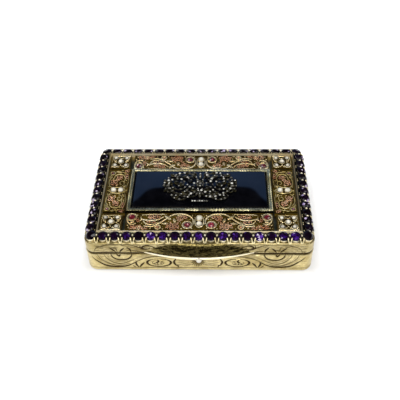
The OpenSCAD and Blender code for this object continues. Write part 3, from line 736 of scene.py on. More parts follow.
class Wall:
    """Strokes on one side, moved along it by a shift and cut on both halves unless single"""

    def __init__(self, cut, side, shift=0.0):
        self.cut, self.side, self.shift = cut, side, shift

    def single(self, points, width, depth=1.0):
        """One stroke, not moved"""
        self.cut.stroke(self.side, points, width, depth)

    def both(self, points, width, depth=1.0):
        """A stroke and its mirror image"""
        self.single(points, width, depth)
        self.single(mirrored(points), width, depth)

    def line(self, width, *points, depth=None):
        """Smooth stroke through a few points"""
        path = smooth([(x + self.shift, z) for x, z in points])
        self.both(path, width, LINE_DEPTH[width] if depth is None else depth)
        return path

    def oval(self, width, x, z, rx, rz, start, end, end_scale=1.0):
        """Part of an oval or of a spiral"""
        self.both(arc(x + self.shift, z, rx, rz, start, end, end_scale), width)

    def shade(self, first, last, count):
        """Fine lines between two curves"""
        t = np.linspace(0, 1, SHADE_POINTS)
        first, last = (np.stack([np.interp(t, np.linspace(0, 1, len(p)), p[:, k]) for k in (0, 1)], axis=1)
                       for p in (first, last))
        for k in range(1, count + 1):
            share = k / (count + 1)
            start = DICE.randrange(0, 14)
            stop = start + DICE.randrange(16, 26)
            self.both((first + (last - first) * share)[start:stop], FINE, DICE.uniform(0.3, 0.6))


def great_scroll(wall, fan=False):
    """Nested curves round a bowl on the seam that holds feathers or a fan, and a plume on the lid"""
    line = wall.line
    rim = line(BOLD, (40.8, 7.6), (38.7, 5.1), (36.0, 2.8), (33.0, 2.0), (29.9, 2.0), (26.8, 2.8),
               (23.4, 5.0))
    second = line(MEDIUM, (38.6, 9.4), (37.5, 6.6), (34.9, 4.1), (32.2, 2.9), (29.9, 2.8), (26.4, 3.9))
    third = line(MEDIUM, (35.9, 9.4), (35.2, 7.2), (33.3, 4.9), (31.0, 3.8), (28.4, 4.1), (24.5, 6.1))
    fourth = line(FINE, (34.6, 9.0), (34.0, 7.2), (32.2, 5.6), (30.0, 4.8), (27.4, 5.2), (22.2, 7.6))
    bowl = line(BOLD, (33.3, 9.7), (32.7, 7.6), (31.0, 6.2), (29.1, 6.0), (26.8, 6.6), (25.4, 8.4),
                (25.3, 10.2))
    for first, last in ((rim, second), (second, third), (third, fourth), (fourth, bowl)):
        wall.shade(first, last, 2)
    if fan:
        for x in (26.4, 27.8, 29.3, 30.8, 32.2):
            off = x - BOWL_X
            line(MEDIUM, (BOWL_X + 0.3 * off, 6.7), (BOWL_X + 0.7 * off, 7.9), (x, 9.3))
            line(MEDIUM, (x, 10.4), (x + 0.2 * off, 11.5), (x + 0.3 * off, 12.6))
    else:
        line(BOLD, (31.2, 9.4), (30.2, 8.2), (29.6, 9.2))
        line(BOLD, (31.2, 10.4), (32.2, 11.6), (33.5, 12.9))
        line(MEDIUM, (30.6, 10.4), (30.9, 12.0), (31.3, 13.6))
        line(BOLD, (29.7, 10.4), (28.8, 11.8), (27.9, 12.7))
        line(BOLD, (25.4, 10.4), (25.7, 11.8), (26.8, 13.2))
    plume = line(MEDIUM, (39.6, 10.4), (38.4, 12.7), (35.6, 13.9), (32.6, 14.5), (28.6, 14.7))
    under = line(FINE, (36.2, 10.4), (35.4, 11.6), (34.2, 12.0), (32.6, 12.2), (30.0, 13.0))
    wall.shade(plume, under, 4)
    upper = line(MEDIUM, (27.2, 14.8), (23.2, 13.6), (19.4, 11.5))
    lower = line(MEDIUM, (24.6, 11.4), (22.4, 10.8), (20.6, 10.3))
    wall.shade(upper, lower, 5)


def leaf_stem(wall):
    """Sweeping leaf lines below the seam, the cusp under them and an oval scroll"""
    line = wall.line
    top = line(FINE, (25.0, 9.0), (20.6, 9.3), (15.6, 9.4), (11.6, 9.2))
    low = line(MEDIUM, (25.3, 4.0), (20.3, 7.0), (15.3, 8.0), (10.2, 7.4))
    wall.shade(top, low, 6)
    line(BOLD, (24.0, 4.9), (23.9, 3.2), (23.1, 1.7))
    line(BOLD, (20.8, 4.4), (21.9, 3.0), (22.7, 1.7))
    line(MEDIUM, (25.4, 2.9), (24.8, 2.2), (24.2, 1.6))
    for width, start, end in ((MEDIUM, 70, 430), (OVAL_CUT, -50, 50), (OVAL_CUT, 130, 230)):
        wall.oval(width, 15.1, 4.4, 4.6, 2.25, start, end)
    line(BOLD, (15.6, 6.0), (15.3, 4.9), (16.3, 4.2))
    wall.oval(FINE, 15.2, 4.2, 2.6, 1.2, 40, -200, 0.7)
    for turn in (150, 190, 230, 275, 320):
        c, s = polar(1, turn)
        line(FINE, (15.5 + 0.9 * c, 4.5 + 0.5 * s), (15.5 + 2.5 * c, 4.5 + 1.4 * s), depth=1.0)


def middle_fan(wall):
    """Facing curves, petals and a fan of rays at the middle of a side"""
    wall.line(FAN_CUT, (8.5, 6.7), (9.3, 4.9), (8.9, 3.4), (7.9, 2.4), depth=1.0)
    wall.line(MEDIUM, (7.9, 3.1), (7.7, 1.7), depth=1.0)
    for outer, inner in ((6.0, 5.4), (4.6, 4.1), (3.2, 3.0)):
        wall.line(MEDIUM, (8.0, outer), (5.2, inner), (1.8, inner + 0.3), depth=0.7)
    wall.single(arc(0, FAN_TOP, 1.7, 1.6, 195, 345), BOLD)
    for ray in range(-75, 90, 15):
        c, s = polar(1, ray)
        wall.single([(1.4 * s, FAN_TOP - 1.4 * c), (3.0 * s, FAN_TOP - 4.2 * c)], MEDIUM, 0.8)


def palmette(wall):
    """Upright leaf rays with two small scrolls at their foot, at the middle of a short side"""
    for ray in range(-60, 75, 15):
        c, s = polar(1, ray)
        tip = (4.6 * s, 2.6 + 6.2 * c * (0.8 + 0.2 * c))
        wall.single(smooth([(0.6 * s, 2.4), (1.9 * s, 2.6 + 2.2 * c), tip]), MEDIUM, 0.85)
    wall.oval(MEDIUM, 2.3, 2.5, 1.5, 0.8, 175, -150, 0.5)
    wall.line(BOLD, (5.4, 7.9), (6.0, 5.4), (4.6, 3.4))


def curls(wall):
    """Small dark curls on the lid, on the front beside the thumb piece"""
    wall.line(MEDIUM, (3.0, 14.3), (3.1, 12.9), (2.0, 11.8), depth=1.0)
    wall.oval(BOLD, 0.7, 12.9, 2.3, 1.25, 165, -190, 0.45)
    wall.line(BOLD, (-1.5, 13.6), (-2.4, 12.4), (-1.4, 11.3))
    for k in range(4):
        x, z = -1.0 - 0.9 * k, 11.4 + 0.35 * k
        wall.line(FINE, (x, z), (x - 1.5, z + 1.0), (x - 3.4, z + 1.5), depth=0.7)
    wall.line(FINE, (-2.4, 13.9), (-4.4, 14.6), (-6.8, 14.8), depth=1.0)
    wall.line(FINE, (2.6, 12.0), (3.8, 13.0), (5.4, 13.6), depth=1.0)


def hatching(wall):
    """Fine shading between the scrolls"""
    half = SIDE_STRAIGHT[wall.side]
    for low, high, count, deepest in HATCHING:
        for _ in range(int(half * count)):
            x, z = DICE.uniform(-half, half), DICE.uniform(low, high)
            lean = DICE.uniform(-0.5, 0.5)
            path = smooth([(x, z), (x + HATCH_STEP, z + lean), (x + 2 * HATCH_STEP, z + lean / 2)])
            wall.single(path, FINE, DICE.uniform(0.15, deepest))


def hollow_height(share):
    """Height of the thumb hollow, from its rim at 0 to the wall at 1"""
    return LIP_LOW[2] + LIP_T + LIP_RISE * (1 - (1 - np.minimum(share, 1)) ** LIP_POWER)


def hollow_edge(x):
    """Height of the upper edge of the thumb hollow on the wall"""
    return hollow_height(1 - (x / LIP_HIGH[0]) ** 2)


def ragged_edge(wall):
    """Short strokes of painted shade that soften the upper edge of the thumb hollow"""
    for _ in range(RAGGED_STROKES):
        x = DICE.uniform(-RAGGED_REACH, RAGGED_REACH) * LIP_HIGH[0]
        z = min(hollow_edge(x) + DICE.uniform(-0.3, 0.9), TOP_Z - 0.1)
        slope = -0.2 * x / LIP_HIGH[0]
        end = z + 2 * slope + DICE.uniform(-0.1, 0.1)
        path = [(x, z), (x + RAGGED_STEP, z + slope), (x + 2 * RAGGED_STEP, end)]
        wall.single(path, DICE.choice((FINE, MEDIUM)), DICE.uniform(0.25, 0.75))


def hollow_painted_shade(wall):
    """Painted shade on the wall above the thumb hollow, densest at its edge"""
    cut = wall.cut
    x = from_middle(np.arange(cut.columns) * OUTLINE_L / cut.columns, wall.side)
    near = np.abs(x) < LIP_HIGH[0]
    z = BASE_T + np.arange(cut.rows) * MAP_STEP
    above = z[:, None] - hollow_edge(x[near])[None]
    ragged = np.convolve([DICE.uniform(0.3, 1.2) for _ in range(near.sum())], np.ones(9) / 9, "same")
    fade = np.clip((HOLLOW_SHADE_END - np.abs(x[near])) / HOLLOW_SHADE_FADE, 0, 1)
    painted_shade = HOLLOW_SHADE_DEPTH * np.exp(-(above / HOLLOW_SHADE_REACH) ** 2) * (ragged * fade)[None] * (above > -HOLLOW_SHADE_REACH)
    cut.depth[:, near] = np.maximum(cut.depth[:, near], np.clip(painted_shade, 0, 1))


def engrave():
    """All strokes on all walls, and the painted shade above the thumb hollow"""
    cut = Engraving()
    for side in LONG_SIDES:
        wall = Wall(cut, side)
        great_scroll(wall)
        leaf_stem(wall)
        middle_fan(wall)
        curls(Wall(cut, side, LONG_CURLS))
    for side in SHORT_SIDES:
        great_scroll(Wall(cut, side, SHORT_SHIFT), fan=True)
        palmette(Wall(cut, side))
        curls(Wall(cut, side, SHORT_CURLS))
    for side in TURNS:
        hatching(Wall(cut, side))
    ragged_edge(Wall(cut, "front"))
    hollow_painted_shade(Wall(cut, "front"))
    return cut


def seam_shade(heights):
    """Dark line where the lid meets the body, and a thin one above the base"""
    far = np.abs(heights - (SEAM_LOW + LID_Z) / 2) / SEAM_SHADE
    base = BASE_DARK * np.exp(-((heights - BASE_T) / BASE_SHADE) ** 2)
    return np.maximum(np.clip(SEAM_DARK - far ** 2, 0, 1), base)


def coved(outer, points, heights):
    """The outer face with the hollow behind that the hinge lies in"""
    rise = HINGE_Z - heights
    cove = HINGE_Y - np.sqrt(np.clip(COVE_R ** 2 - rise ** 2, 0, None))
    behind = (np.abs(points[:, 0]) < HINGE_HALF + COVE_MARGIN) & (points[:, 1] > 0)
    hollowed = behind[None, :] & (np.abs(rise) < COVE_R)[:, None]
    outer[..., 1] = np.where(hollowed, np.minimum(outer[..., 1], cove[:, None]), outer[..., 1])
    return outer


def engraved_shell(name, cut, low, high, thick, nodes, body, plate=None):
    """Wall with the strokes cut into its outer face; the lid's has a round shoulder and a top plate, with
    painted shade on its ledge, on its shoulder away from the front and on its top plate
    """
    columns = int(OUTLINE_L / WALL_STEP)
    points, outward = outline(columns)
    heights = np.linspace(low, high, int((high - low) / WALL_STEP) + 1)
    rows = len(heights)
    groove_and_shade = np.maximum(cut.sample(columns, heights), seam_shade(heights)[:, None])
    edge = EDGE_RISE * np.exp(-((heights - SEAM_LOW + EDGE_LINE) / EDGE_WIDE) ** 2)
    inset = groove_and_shade * GROOVE_DEPTH - edge[:, None] * (1 - groove_and_shade)
    ledge = np.zeros(columns)
    if plate is not None:
        aside = points[:, 1] > -HALF_D + FRONT_EDGE
        # Painted shade on the ledge, heavier away from the front
        ledge = np.where(aside, SIDE_LEDGE_SHADE, LEDGE_SHADE)
        climb = np.clip((heights - high + SHOULDER_H) / SHOULDER_H, 0, 1)
        upper = np.clip(2 * climb, 0, 1)
        # A darker tone of the lid's wall, and painted shade on its shoulder away from the front
        groove_and_shade = np.maximum(np.maximum(groove_and_shade, LID_TONE), upper[:, None] * SHOULDER_SHADE * aside[None])
        inset = inset + SHOULDER_W * (1 - np.sqrt(1 - climb ** 2))[:, None]
    outer = coved(points[None] - outward[None] * inset[..., None], points, heights)
    solid = np.concatenate([outer, np.broadcast_to(heights[:, None, None], (rows, columns, 1))], axis=2)
    inner = points - outward * thick
    stack = np.concatenate([solid.reshape(-1, 3), raised(inner, high), raised(inner, low)])
    faces = grid_faces(rows + 2, columns, wrap=True) + closing_faces((rows + 1) * columns, columns)
    values = np.concatenate([groove_and_shade.ravel(), ledge, np.zeros(columns)])
    if plate is not None:
        corners, sides = slab(HALF_W - thick, HALF_D - thick, plate, high)
        faces += [tuple(len(stack) + i for i in face) for face in sides]
        stack = np.vstack([stack, corners])
        # Painted shade on the top plate
        values = np.r_[values, np.zeros(4), np.full(4, PLATE_SHADE)]
    mesh = bpy.data.meshes.new(name)
    mesh.from_pydata((stack * MM).tolist(), [], faces)
    mesh.polygons.foreach_set("use_smooth", [True] * len(faces))
    mesh.attributes.new("groove_and_shade", "FLOAT", "POINT").data.foreach_set("value", values)
    mesh.set_sharp_from_angle(angle=math.radians(50))
    ride_piece(mesh, "engraved", body, nodes)


# Thumb piece

LIP_OUT = -HALF_D - LIP_LOW[1]
LIP_HALF = LIP_HIGH[0]
LIP_R = (LIP_HALF ** 2 + LIP_OUT ** 2) / (2 * LIP_OUT)
LIP_AXIS = LIP_LOW[1] + LIP_R
LIP_ARC = math.asin(LIP_HALF / LIP_R)
LIP_COLUMNS, LIP_ROWS, LIP_OVERLAP = 161, 19, 0.3
RIM_INSET, RIM_LIFT, RIM_REACH, RIM_WIRE = 0.16, 0.3, 1.05, (0.3, 0.54, 0.3)
BEAD_DULL = 0.58


def lip_point(r, a, z):
    """Point at a radius and angle round the axis of the lip's curved edge"""
    return r * math.sin(a), LIP_AXIS - r * math.cos(a), z


def thumb_lip():
    """Crescent lip with a concave slope in painted shade, darkest at its middle and lower down, and its
    bright edge
    """
    grid, tints = [], []
    for a in np.linspace(-LIP_ARC, LIP_ARC, LIP_COLUMNS):
        near = (LIP_AXIS + HALF_D) / math.cos(a) - LIP_OVERLAP
        for r in np.linspace(near, LIP_R, LIP_ROWS):
            grid.append(lip_point(r, a, hollow_height((LIP_R - r) / LIP_OUT)))
        grid += [lip_point(r, a, LIP_LOW[2]) for r in (LIP_R, near)]
    # Painted shade of the hollow, deepest at its middle and lower down
    for a in np.linspace(-LIP_ARC, LIP_ARC, LIP_COLUMNS - 1):
        middle = 1 - (a / LIP_ARC) ** 2
        tints += [0.5 + 0.5 * (0.2 + 0.4 * middle + 0.25 * k / LIP_ROWS) for k in range(LIP_ROWS + 1)]
    lip = Shape()
    lip.add((grid, grid_faces(LIP_COLUMNS, LIP_ROWS + 2)), tints)
    lip.piece("thumb_lip_hollow", "hollow", "gilt", ["thumb_lip"], sharp=45)
    turns = np.linspace(-LIP_ARC * RIM_REACH, LIP_ARC * RIM_REACH, LIP_COLUMNS)
    path = [lip_point(LIP_R - RIM_INSET, a, LIP_LOW[2] + RIM_LIFT) for a in turns]
    rim = Shape()
    rim.add(tube(path, tapered(LIP_COLUMNS, *RIM_WIRE), 10))
    rim.piece("thumb_lip_rim", "rim", "bright_gilt")


def thumb_bead():
    """Bead on the lip's edge and its upright collar"""
    low, high = box_mm("thumb_bead")
    middle, r = (low + high) / 2, (high[0] - low[0]) / 2 - 0.15
    drop = Shape()
    drop.add(bead(middle[0], high[1] - 0.5, middle[2] + 0.4, r, 0.85, 24, 16), BEAD_DULL)
    points, faces = hoop(0, 0, 0, 0.9 * r, 0.2)
    drop.add((points[:, [0, 2, 1]] + (middle[0], high[1] - 0.05, middle[2]), faces))
    drop.piece("thumb_bead_set", "pearl", "bright_gilt", ["thumb_bead"])


# Amethyst border

# Painted glow of the stones along the front, from the left, and painted glows to choose from elsewhere
FRONT_GLOW = (0.08, 0.5, 0.4, 0.7, 0.15, 1.0, 0.8, 0.45, 0.6, 0.85,
              0.35, 0.9, 0.65, 0.35, 1.1, 0.4, 0.65, 0.9, 0.1)
OTHER_GLOW = (0.02, 0.06, 0.1, 0.2, 0.3)

# Shares of the facets with a painted glint elsewhere, and their tone
OTHER_SPARKLE, OTHER_LIT = 0.055, 0.95

# How the stones sit on each side: radius, lean in degrees, drop and shift outwards
SEATS = {"front": (1.95, 20, 0.15, 0.0), "right": (2.06, 26, 0.4, 0.5), "back": (2.06, 28, 0.5, 0.0),
         "left": (2.06, 26, 0.4, 0.5)}
CORNER_SCALE = 1.08

# Painted shade of the claws on each side and of the cups away from the front, and the thickness of the claws
# and the grains' radius on each side
CLAW_SHADE = {"front": UNDARKENED, "right": 0.58, "back": 0.58, "left": 0.72}
CUP_SHADE, CUP_SIDES = 0.95, 24
FRONT_CLAW, SIDE_CLAW = 1.0, 0.75
FRONT_DOT, SIDE_DOT = 0.36, 0.44
TIP_R, GRAIN_R = 0.26, 0.24

# Steps of a claw: sideways and inwards from the wall
CLAW_STEPS = ((0.16, 0.3), (0.22, 0.38), (0.42, 0.5), (0.62, 0.88), (0.74, 1.3))
CLAW_WIRE = (0.2, 0.3, 0.24)

# Insets of a cup's top, waist and inner edge, and how far its foot goes into the ledge
CUP_TOP, CUP_WAIST, CUP_INNER, CUP_FOOT = 0.14, 0.07, 0.3, 0.1

# Grains between the stones and beside the rail: inwards, sideways and upwards
DOT_IN, DOT_UP = 0.2, 0.35
GRAIN_ASIDE, GRAIN_IN, GRAIN_UP = 0.45, 4.1, 0.25

# Facets near the edge of a stone get painted shade, and those with a painted glint are brighter by a step
STONE_EDGE, EDGE_SHADE, LIT_STEP = 0.75, 0.55, 0.45


def row_places(side):
    """Stone middles along a side, seen with that side in front, with the corner stones"""
    low, high = box_mm("amethysts_front")
    half, deep = along_across(side, (high[0] - STONE_R, STONE_R - high[1]))
    reach, count = (-low[1], LONG_STONES) if side in LONG_SIDES else (-STONE_LOW[0], SHORT_STONES)
    x = np.linspace(-half, half, count)
    y = np.full(count, STONE_R - reach)
    y[[0, -1]] = -deep
    return np.stack([x, y], axis=1)


def stone_tints(solid, glow, sparkle, lit):
    """Tone of each facet of one stone, with painted light brightest on the outer side, painted shade near its
    edge and painted glints on some facets
    """
    points, faces = solid
    r = points[:, 0].max()
    tints = []
    for face in faces:
        middle = points[list(face)].mean(axis=0)
        outer = 0.5 - 0.5 * middle[1] / r
        rim = EDGE_SHADE if np.hypot(middle[0], middle[1]) > STONE_EDGE * r else 1.0
        tone = glow * rim * (0.3 + 0.7 * outer) * DICE.uniform(0.35, 1.15)
        if DICE.random() < sparkle:
            tone = max(tone + LIT_STEP, lit)
        tints.append(tone)
    return tints


def cup(r, lean, drop):
    """Upright collar from the ledge to the girdle of a leaning stone, with painted shade on its inner side"""
    a = np.linspace(0, 2 * math.pi, CUP_SIDES, endpoint=False)
    ring = np.array(ring_points(1, CUP_SIDES, 0, 0))
    top = (ring * (r - CUP_TOP)) @ lean.T
    foot = top.copy()
    foot[:, 2] = TOP_Z - GIRDLE_Z + drop - CUP_FOOT
    waist = (top + foot) / 2 - ring * CUP_WAIST
    inner = (ring * (r - CUP_INNER)) @ lean.T
    tints = np.where(np.sin(a + math.pi / CUP_SIDES) < -0.25, UNDARKENED, DARK)
    return np.vstack([foot, waist, top, inner]), grid_faces(4, CUP_SIDES, wrap=True), np.tile(tints, 3)


def claw(x, reach, lean, drop, thick):
    """One prong from the shoulder of the wall up onto the edge of a stone"""
    heights = (TOP_Z - 0.2, TOP_Z + 0.2, TOP_Z + 0.8, GALLERY_Z - drop, GIRDLE_Z + 0.15 - drop)
    path = smooth([(x + a * lean, b - reach, z) for (a, b), z in zip(CLAW_STEPS, heights)], 4)
    return path, tube(path, thick * tapered(len(path), *CLAW_WIRE), 7, up=(1, 0, 0))


def stone_border(side):
    """Stones, cups, claws and grains of one side"""
    front = side == "front"
    places = row_places(side)
    last = len(places) - 1
    stones, cups, claws, dots = Shape(), Shape(), Shape(), Shape()
    first = 0 if side in LONG_SIDES else 1
    seat_r, degrees, drop, shift = SEATS[side]
    for k in range(first, len(places) - first):
        r = seat_r * CORNER_SCALE if k in (0, last) else seat_r
        lean = leaning({0: -45, last: 45}.get(k, 0), degrees)
        place = (places[k][0], places[k][1] - shift, GIRDLE_Z - drop)
        points, faces = brilliant(r, DICE.uniform(0, 45))
        # Painted glow of the stone's facets, and painted glints on some of them
        glow = FRONT_GLOW[k] if front else DICE.choice(OTHER_GLOW)
        sparkle, lit = (0.02 + 0.03 * glow, 0.0) if front else (OTHER_SPARKLE, OTHER_LIT)
        stones.add((points @ lean.T + place, faces), stone_tints((points, faces), glow, sparkle, lit))
        points, faces, tints = cup(r, lean, drop)
        cups.add((points + place, faces), tints if front else CUP_SHADE)
    reach = SIDE_REACH[side]
    for k in range(last):
        x = (places[k][0] + places[k + 1][0]) / 2
        dots.add(bead(x, -reach + STONE_INSET + DOT_IN - shift, GIRDLE_Z + DOT_UP - drop,
                      FRONT_DOT if front else SIDE_DOT, 1.0, 9, 6))
        for lean in HALVES:
            path, prong = claw(x, reach, lean, drop, FRONT_CLAW if front else SIDE_CLAW)
            tip = bead(*path[-1], TIP_R, 1.0, 8, 5)
            grain = bead(x + GRAIN_ASIDE * lean, GRAIN_IN - reach, GALLERY_Z + GRAIN_UP, GRAIN_R, 1.0, 8, 5)
            for solid in (prong, tip, grain):
                claws.add(solid, CLAW_SHADE[side])
    for shape in (stones, cups, claws, dots):
        shape.turn_into(TURNS[side])
    stones.piece("amethysts_cut_" + side, "amethyst", "amethyst", ["amethysts_" + side], facets=True)
    cups.piece("amethyst_cups_" + side, "cup", "bright_gilt")
    claws.piece("claws_forked_" + side, "claw", "bright_gilt", ["claws_" + side])
    dots.piece("border_grains_" + side, "rim", "bright_gilt")


# Rail on each side: share of its full width, and painted shade
RAIL_SHARE = {"front": 0.7, "right": 0.36, "back": 0.36, "left": 0.3}
RAIL_SHADE = {"front": UNDARKENED, "right": 0.8, "back": 0.68, "left": 0.6}
NOTCH_DEPTH, NOTCH_TURN, RAIL_STEP = 0.06, 4.6, 0.15


def round_rail():
    """Half-round rail with fine notches, between the stones and the panels, with painted shade away from the
    front
    """
    high = box_mm("border_rail")[1]
    top = high[2]
    across = [(0.02, TOP_Z), (0.05, top - 0.25), (0.14, top - 0.05), (0.25, top + 0.05),
              (0.36, top - 0.05), (0.45, top - 0.25), (0.48, TOP_Z)]
    rail = Shape()
    for side, turn in TURNS.items():
        half, reach = along_across(side, high)
        steps = int(half / RAIL_STEP)
        grid = []
        for t in np.linspace(-1, 1, steps):
            for v, z in across:
                v = v * RAIL_SHARE[side]
                x = t * (half - v)
                notch = NOTCH_DEPTH * math.sin(x * NOTCH_TURN) if z > top - 0.2 else 0
                grid.append((x, -reach + v, z + notch))
        rail.add((turned(grid, turn), grid_faces(steps, len(across))), RAIL_SHADE[side])
    rail.piece("border_rail_round", "rail", "bright_gilt", ["border_rail"])


BED_COLUMNS = 240


def gallery_bed():
    """Bed behind the cups, set back from the wall, in painted shade except on top in front"""
    points, outward = outline(BED_COLUMNS)
    rows = ((1.3, TOP_Z - 0.1), (1.3, GALLERY_Z - 0.7), (2.4, GALLERY_Z - 0.2), (4.3, GALLERY_Z + 0.1),
            (4.3, TOP_Z - 0.1))
    grid = [raised(points - outward * inset, z) for inset, z in rows]
    front = points[:, 1] < -HALF_D + FRONT_EDGE
    tints = [np.full(BED_COLUMNS, DARK), np.full(BED_COLUMNS, 0.95), np.where(front, 0.9, DARK),
             np.where(front, 0.8, DARK)]
    bed = Shape()
    bed.add((np.vstack(grid), grid_faces(len(rows), BED_COLUMNS, wrap=True)), np.concatenate(tints))
    bed.piece("gallery_bed", "bed", "antique_gilt", ["setting_gallery"], sharp=50)


# Filigree of the border panels

# Distance of the beads on a wire, share of its drawn thickness, and painted shade of the rose-coloured
# grounds under the curls
BEAD_STEP, WIRE_SHARE, ROSE_BED_SHADE = 0.55, 0.84, 0.95

# Heights above the ground of the panels
WIRE_LIFT, GRAIN_LIFT, RING_LIFT = 0.22, 0.25, 0.3


def beaded(run):
    """Swelling of a wire along its length, from -1 to 1 at each bead"""
    return np.cos(2 * math.pi * run / BEAD_STEP)


class Filigree:
    """Gold wires and rose-gold leaves of one panel; each part is made for both halves"""

    def __init__(self):
        self.wires, self.rose = Shape(), Shape()

    def wire(self, points, r=0.3, start=None, end=None):
        """Beaded wire, smoothed where it has few points, with radii at its thickest and its ends"""
        path = smooth(points) if len(points) < 9 else np.asarray(points, float)
        path, run = even_steps(path, BEAD_STEP / 4)
        thick = WIRE_SHARE * tapered(len(path), start or r * 0.6, r, end or r * 0.6)
        self.wires.both(tube(raised(path, GROUND_Z + WIRE_LIFT), thick * (0.92 + 0.12 * beaded(run)), 7))

    def leaf(self, x, y, length, width, degrees, rose=True, height=0.5):
        """Plain gold leaf, or a low rose-coloured one in painted shade, filled with curls"""
        if rose:
            self.rose.both(leaf(x, y, GROUND_Z + 0.03, length, width, degrees, 0.35 * height), ROSE_BED_SHADE)
            for solid in small_curls(x, y, GROUND_Z + 0.4 * height, length, width, degrees):
                self.rose.both(solid)
        else:
            self.wires.both(leaf(x, y, GROUND_Z + 0.06, length, width, degrees, height))

    def pounce(self, half_x, half_y, count):
        """Tiny grains strewn over the ground"""
        for _ in range(count):
            x, y = DICE.uniform(0, half_x), DICE.uniform(-half_y, half_y)
            self.wires.both(bead(x, y, GROUND_Z + 0.02, DICE.uniform(0.1, 0.2), 1.0, 6, 4))

    def grains(self, places, r=0.3, rose=True):
        """Round grains in rose or yellow gold"""
        shape = self.rose if rose else self.wires
        for x, y in places:
            shape.both(bead(x, y, GROUND_Z + GRAIN_LIFT, r, 0.9, 8, 5))

    def ring(self, x, y, r, wire=0.3):
        """Ring of plain wire"""
        self.wires.both(hoop(x, y, GROUND_Z + RING_LIFT, r, wire))

    def flower(self, x, y, r, petals=6):
        """Rose-gold grains round a yellow one"""
        self.grains([polar(r, 360 * k / petals, x, y) for k in range(petals)], r * 0.45)
        self.grains([(x, y)], r * 0.5, rose=False)

    def garnet_ring(self, x, y, r):
        """Double wire round a garnet, thinner round a small one"""
        self.ring(x, y, r + 0.36 * r, 0.16 * r)
        self.ring(x, y, r + 0.02, 0.1)


def long_panel(work):
    """One half of a front or back panel: x from its middle, y towards the onyx"""
    work.garnet_ring(*INNER_GARNET, GARNET_R)
    work.wire([(11.4, 2.9), (9.3, 4.0), (6.6, 4.0), (4.2, 3.2), (2.6, 1.4), (2.2, -1.4)], 0.52, 0.3, 0.25)
    work.wire([(8.6, 3.2), (6.4, 3.1), (4.4, 2.2)], 0.26)
    work.leaf(7.6, 1.5, 2.8, 1.5, 60, height=0.6)
    work.leaf(5.9, 2.2, 2.0, 1.0, 20)
    work.leaf(12.2, 2.2, 3.4, 1.2, 38, rose=False, height=0.6)
    work.leaf(9.6, 0.7, 2.4, 1.1, 75, rose=False)
    work.wire([(11.2, 3.2), (13.0, 1.2), (15.6, -1.0), (18.0, -2.5), (21.2, -2.3)], 0.44, 0.2, 0.26)
    work.leaf(13.2, -1.0, 2.8, 0.9, -4, rose=False, height=0.6)
    work.leaf(11.2, -2.3, 3.0, 1.7, 12, height=0.65)
    work.leaf(9.0, -2.2, 2.6, 1.6, 70, height=0.65)
    work.leaf(9.8, -3.7, 3.6, 1.0, -6)
    work.grains([(10.2, -1.4), (8.0, -3.4), (12.6, -3.2), (8.2, -0.6), (11.0, -0.6)], 0.34)
    work.ring(15.8, -3.0, 1.0, 0.26)
    work.grains([(15.8, -3.0)], 0.6)
    work.wire([(13.7, 2.6), (16.0, 1.0), (19.0, 0.6), (22.2, 1.2)], 0.4, 0.2, 0.3)
    work.wire([(22.6, 2.1), (22.3, 1.2), (22.8, 0.4)], 0.42)
    work.leaf(17.3, 2.4, 5.4, 1.9, -6, height=0.7)
    work.grains([(15.4 + 0.85 * k, 2.6 - 0.1 * k) for k in range(6)])
    work.leaf(18.4, -0.4, 4.2, 1.2, 4)
    work.wire([(21.6, 0.5), (20.4, -1.1), (18.0, -1.5), (15.7, -0.4)])
    work.wire([(13.4, 4.0), (16.4, 3.9), (19.6, 3.8), (22.4, 3.5)], 0.22)
    work.garnet_ring(*END_GARNET, GARNET_R)
    work.wire([(25.0, 4.1), (27.4, 3.9), (27.9, 1.6), (27.2, -0.7), (25.6, -1.6), (24.4, -0.9)],
              0.4, 0.2, 0.3)
    work.leaf(25.9, -0.3, 2.0, 0.9, -20, rose=False, height=0.6)
    work.leaf(23.9, 0.9, 2.4, 0.8, 70)
    work.flower(23.0, -2.7, 0.7)
    work.leaf(25.2, -3.0, 2.8, 1.3, 10, height=0.6)
    work.leaf(20.8, -3.6, 2.8, 1.1, -10, height=0.6)
    work.leaf(23.2, -4.0, 2.4, 0.7, 0, rose=False)
    work.grains([(26.9, -3.4), (18.6, -3.7), (2.9, -3.6), (6.8, -3.8), (13.9, -3.9), (24.0, 3.4),
                 (27.5, -2.0)], rose=False)


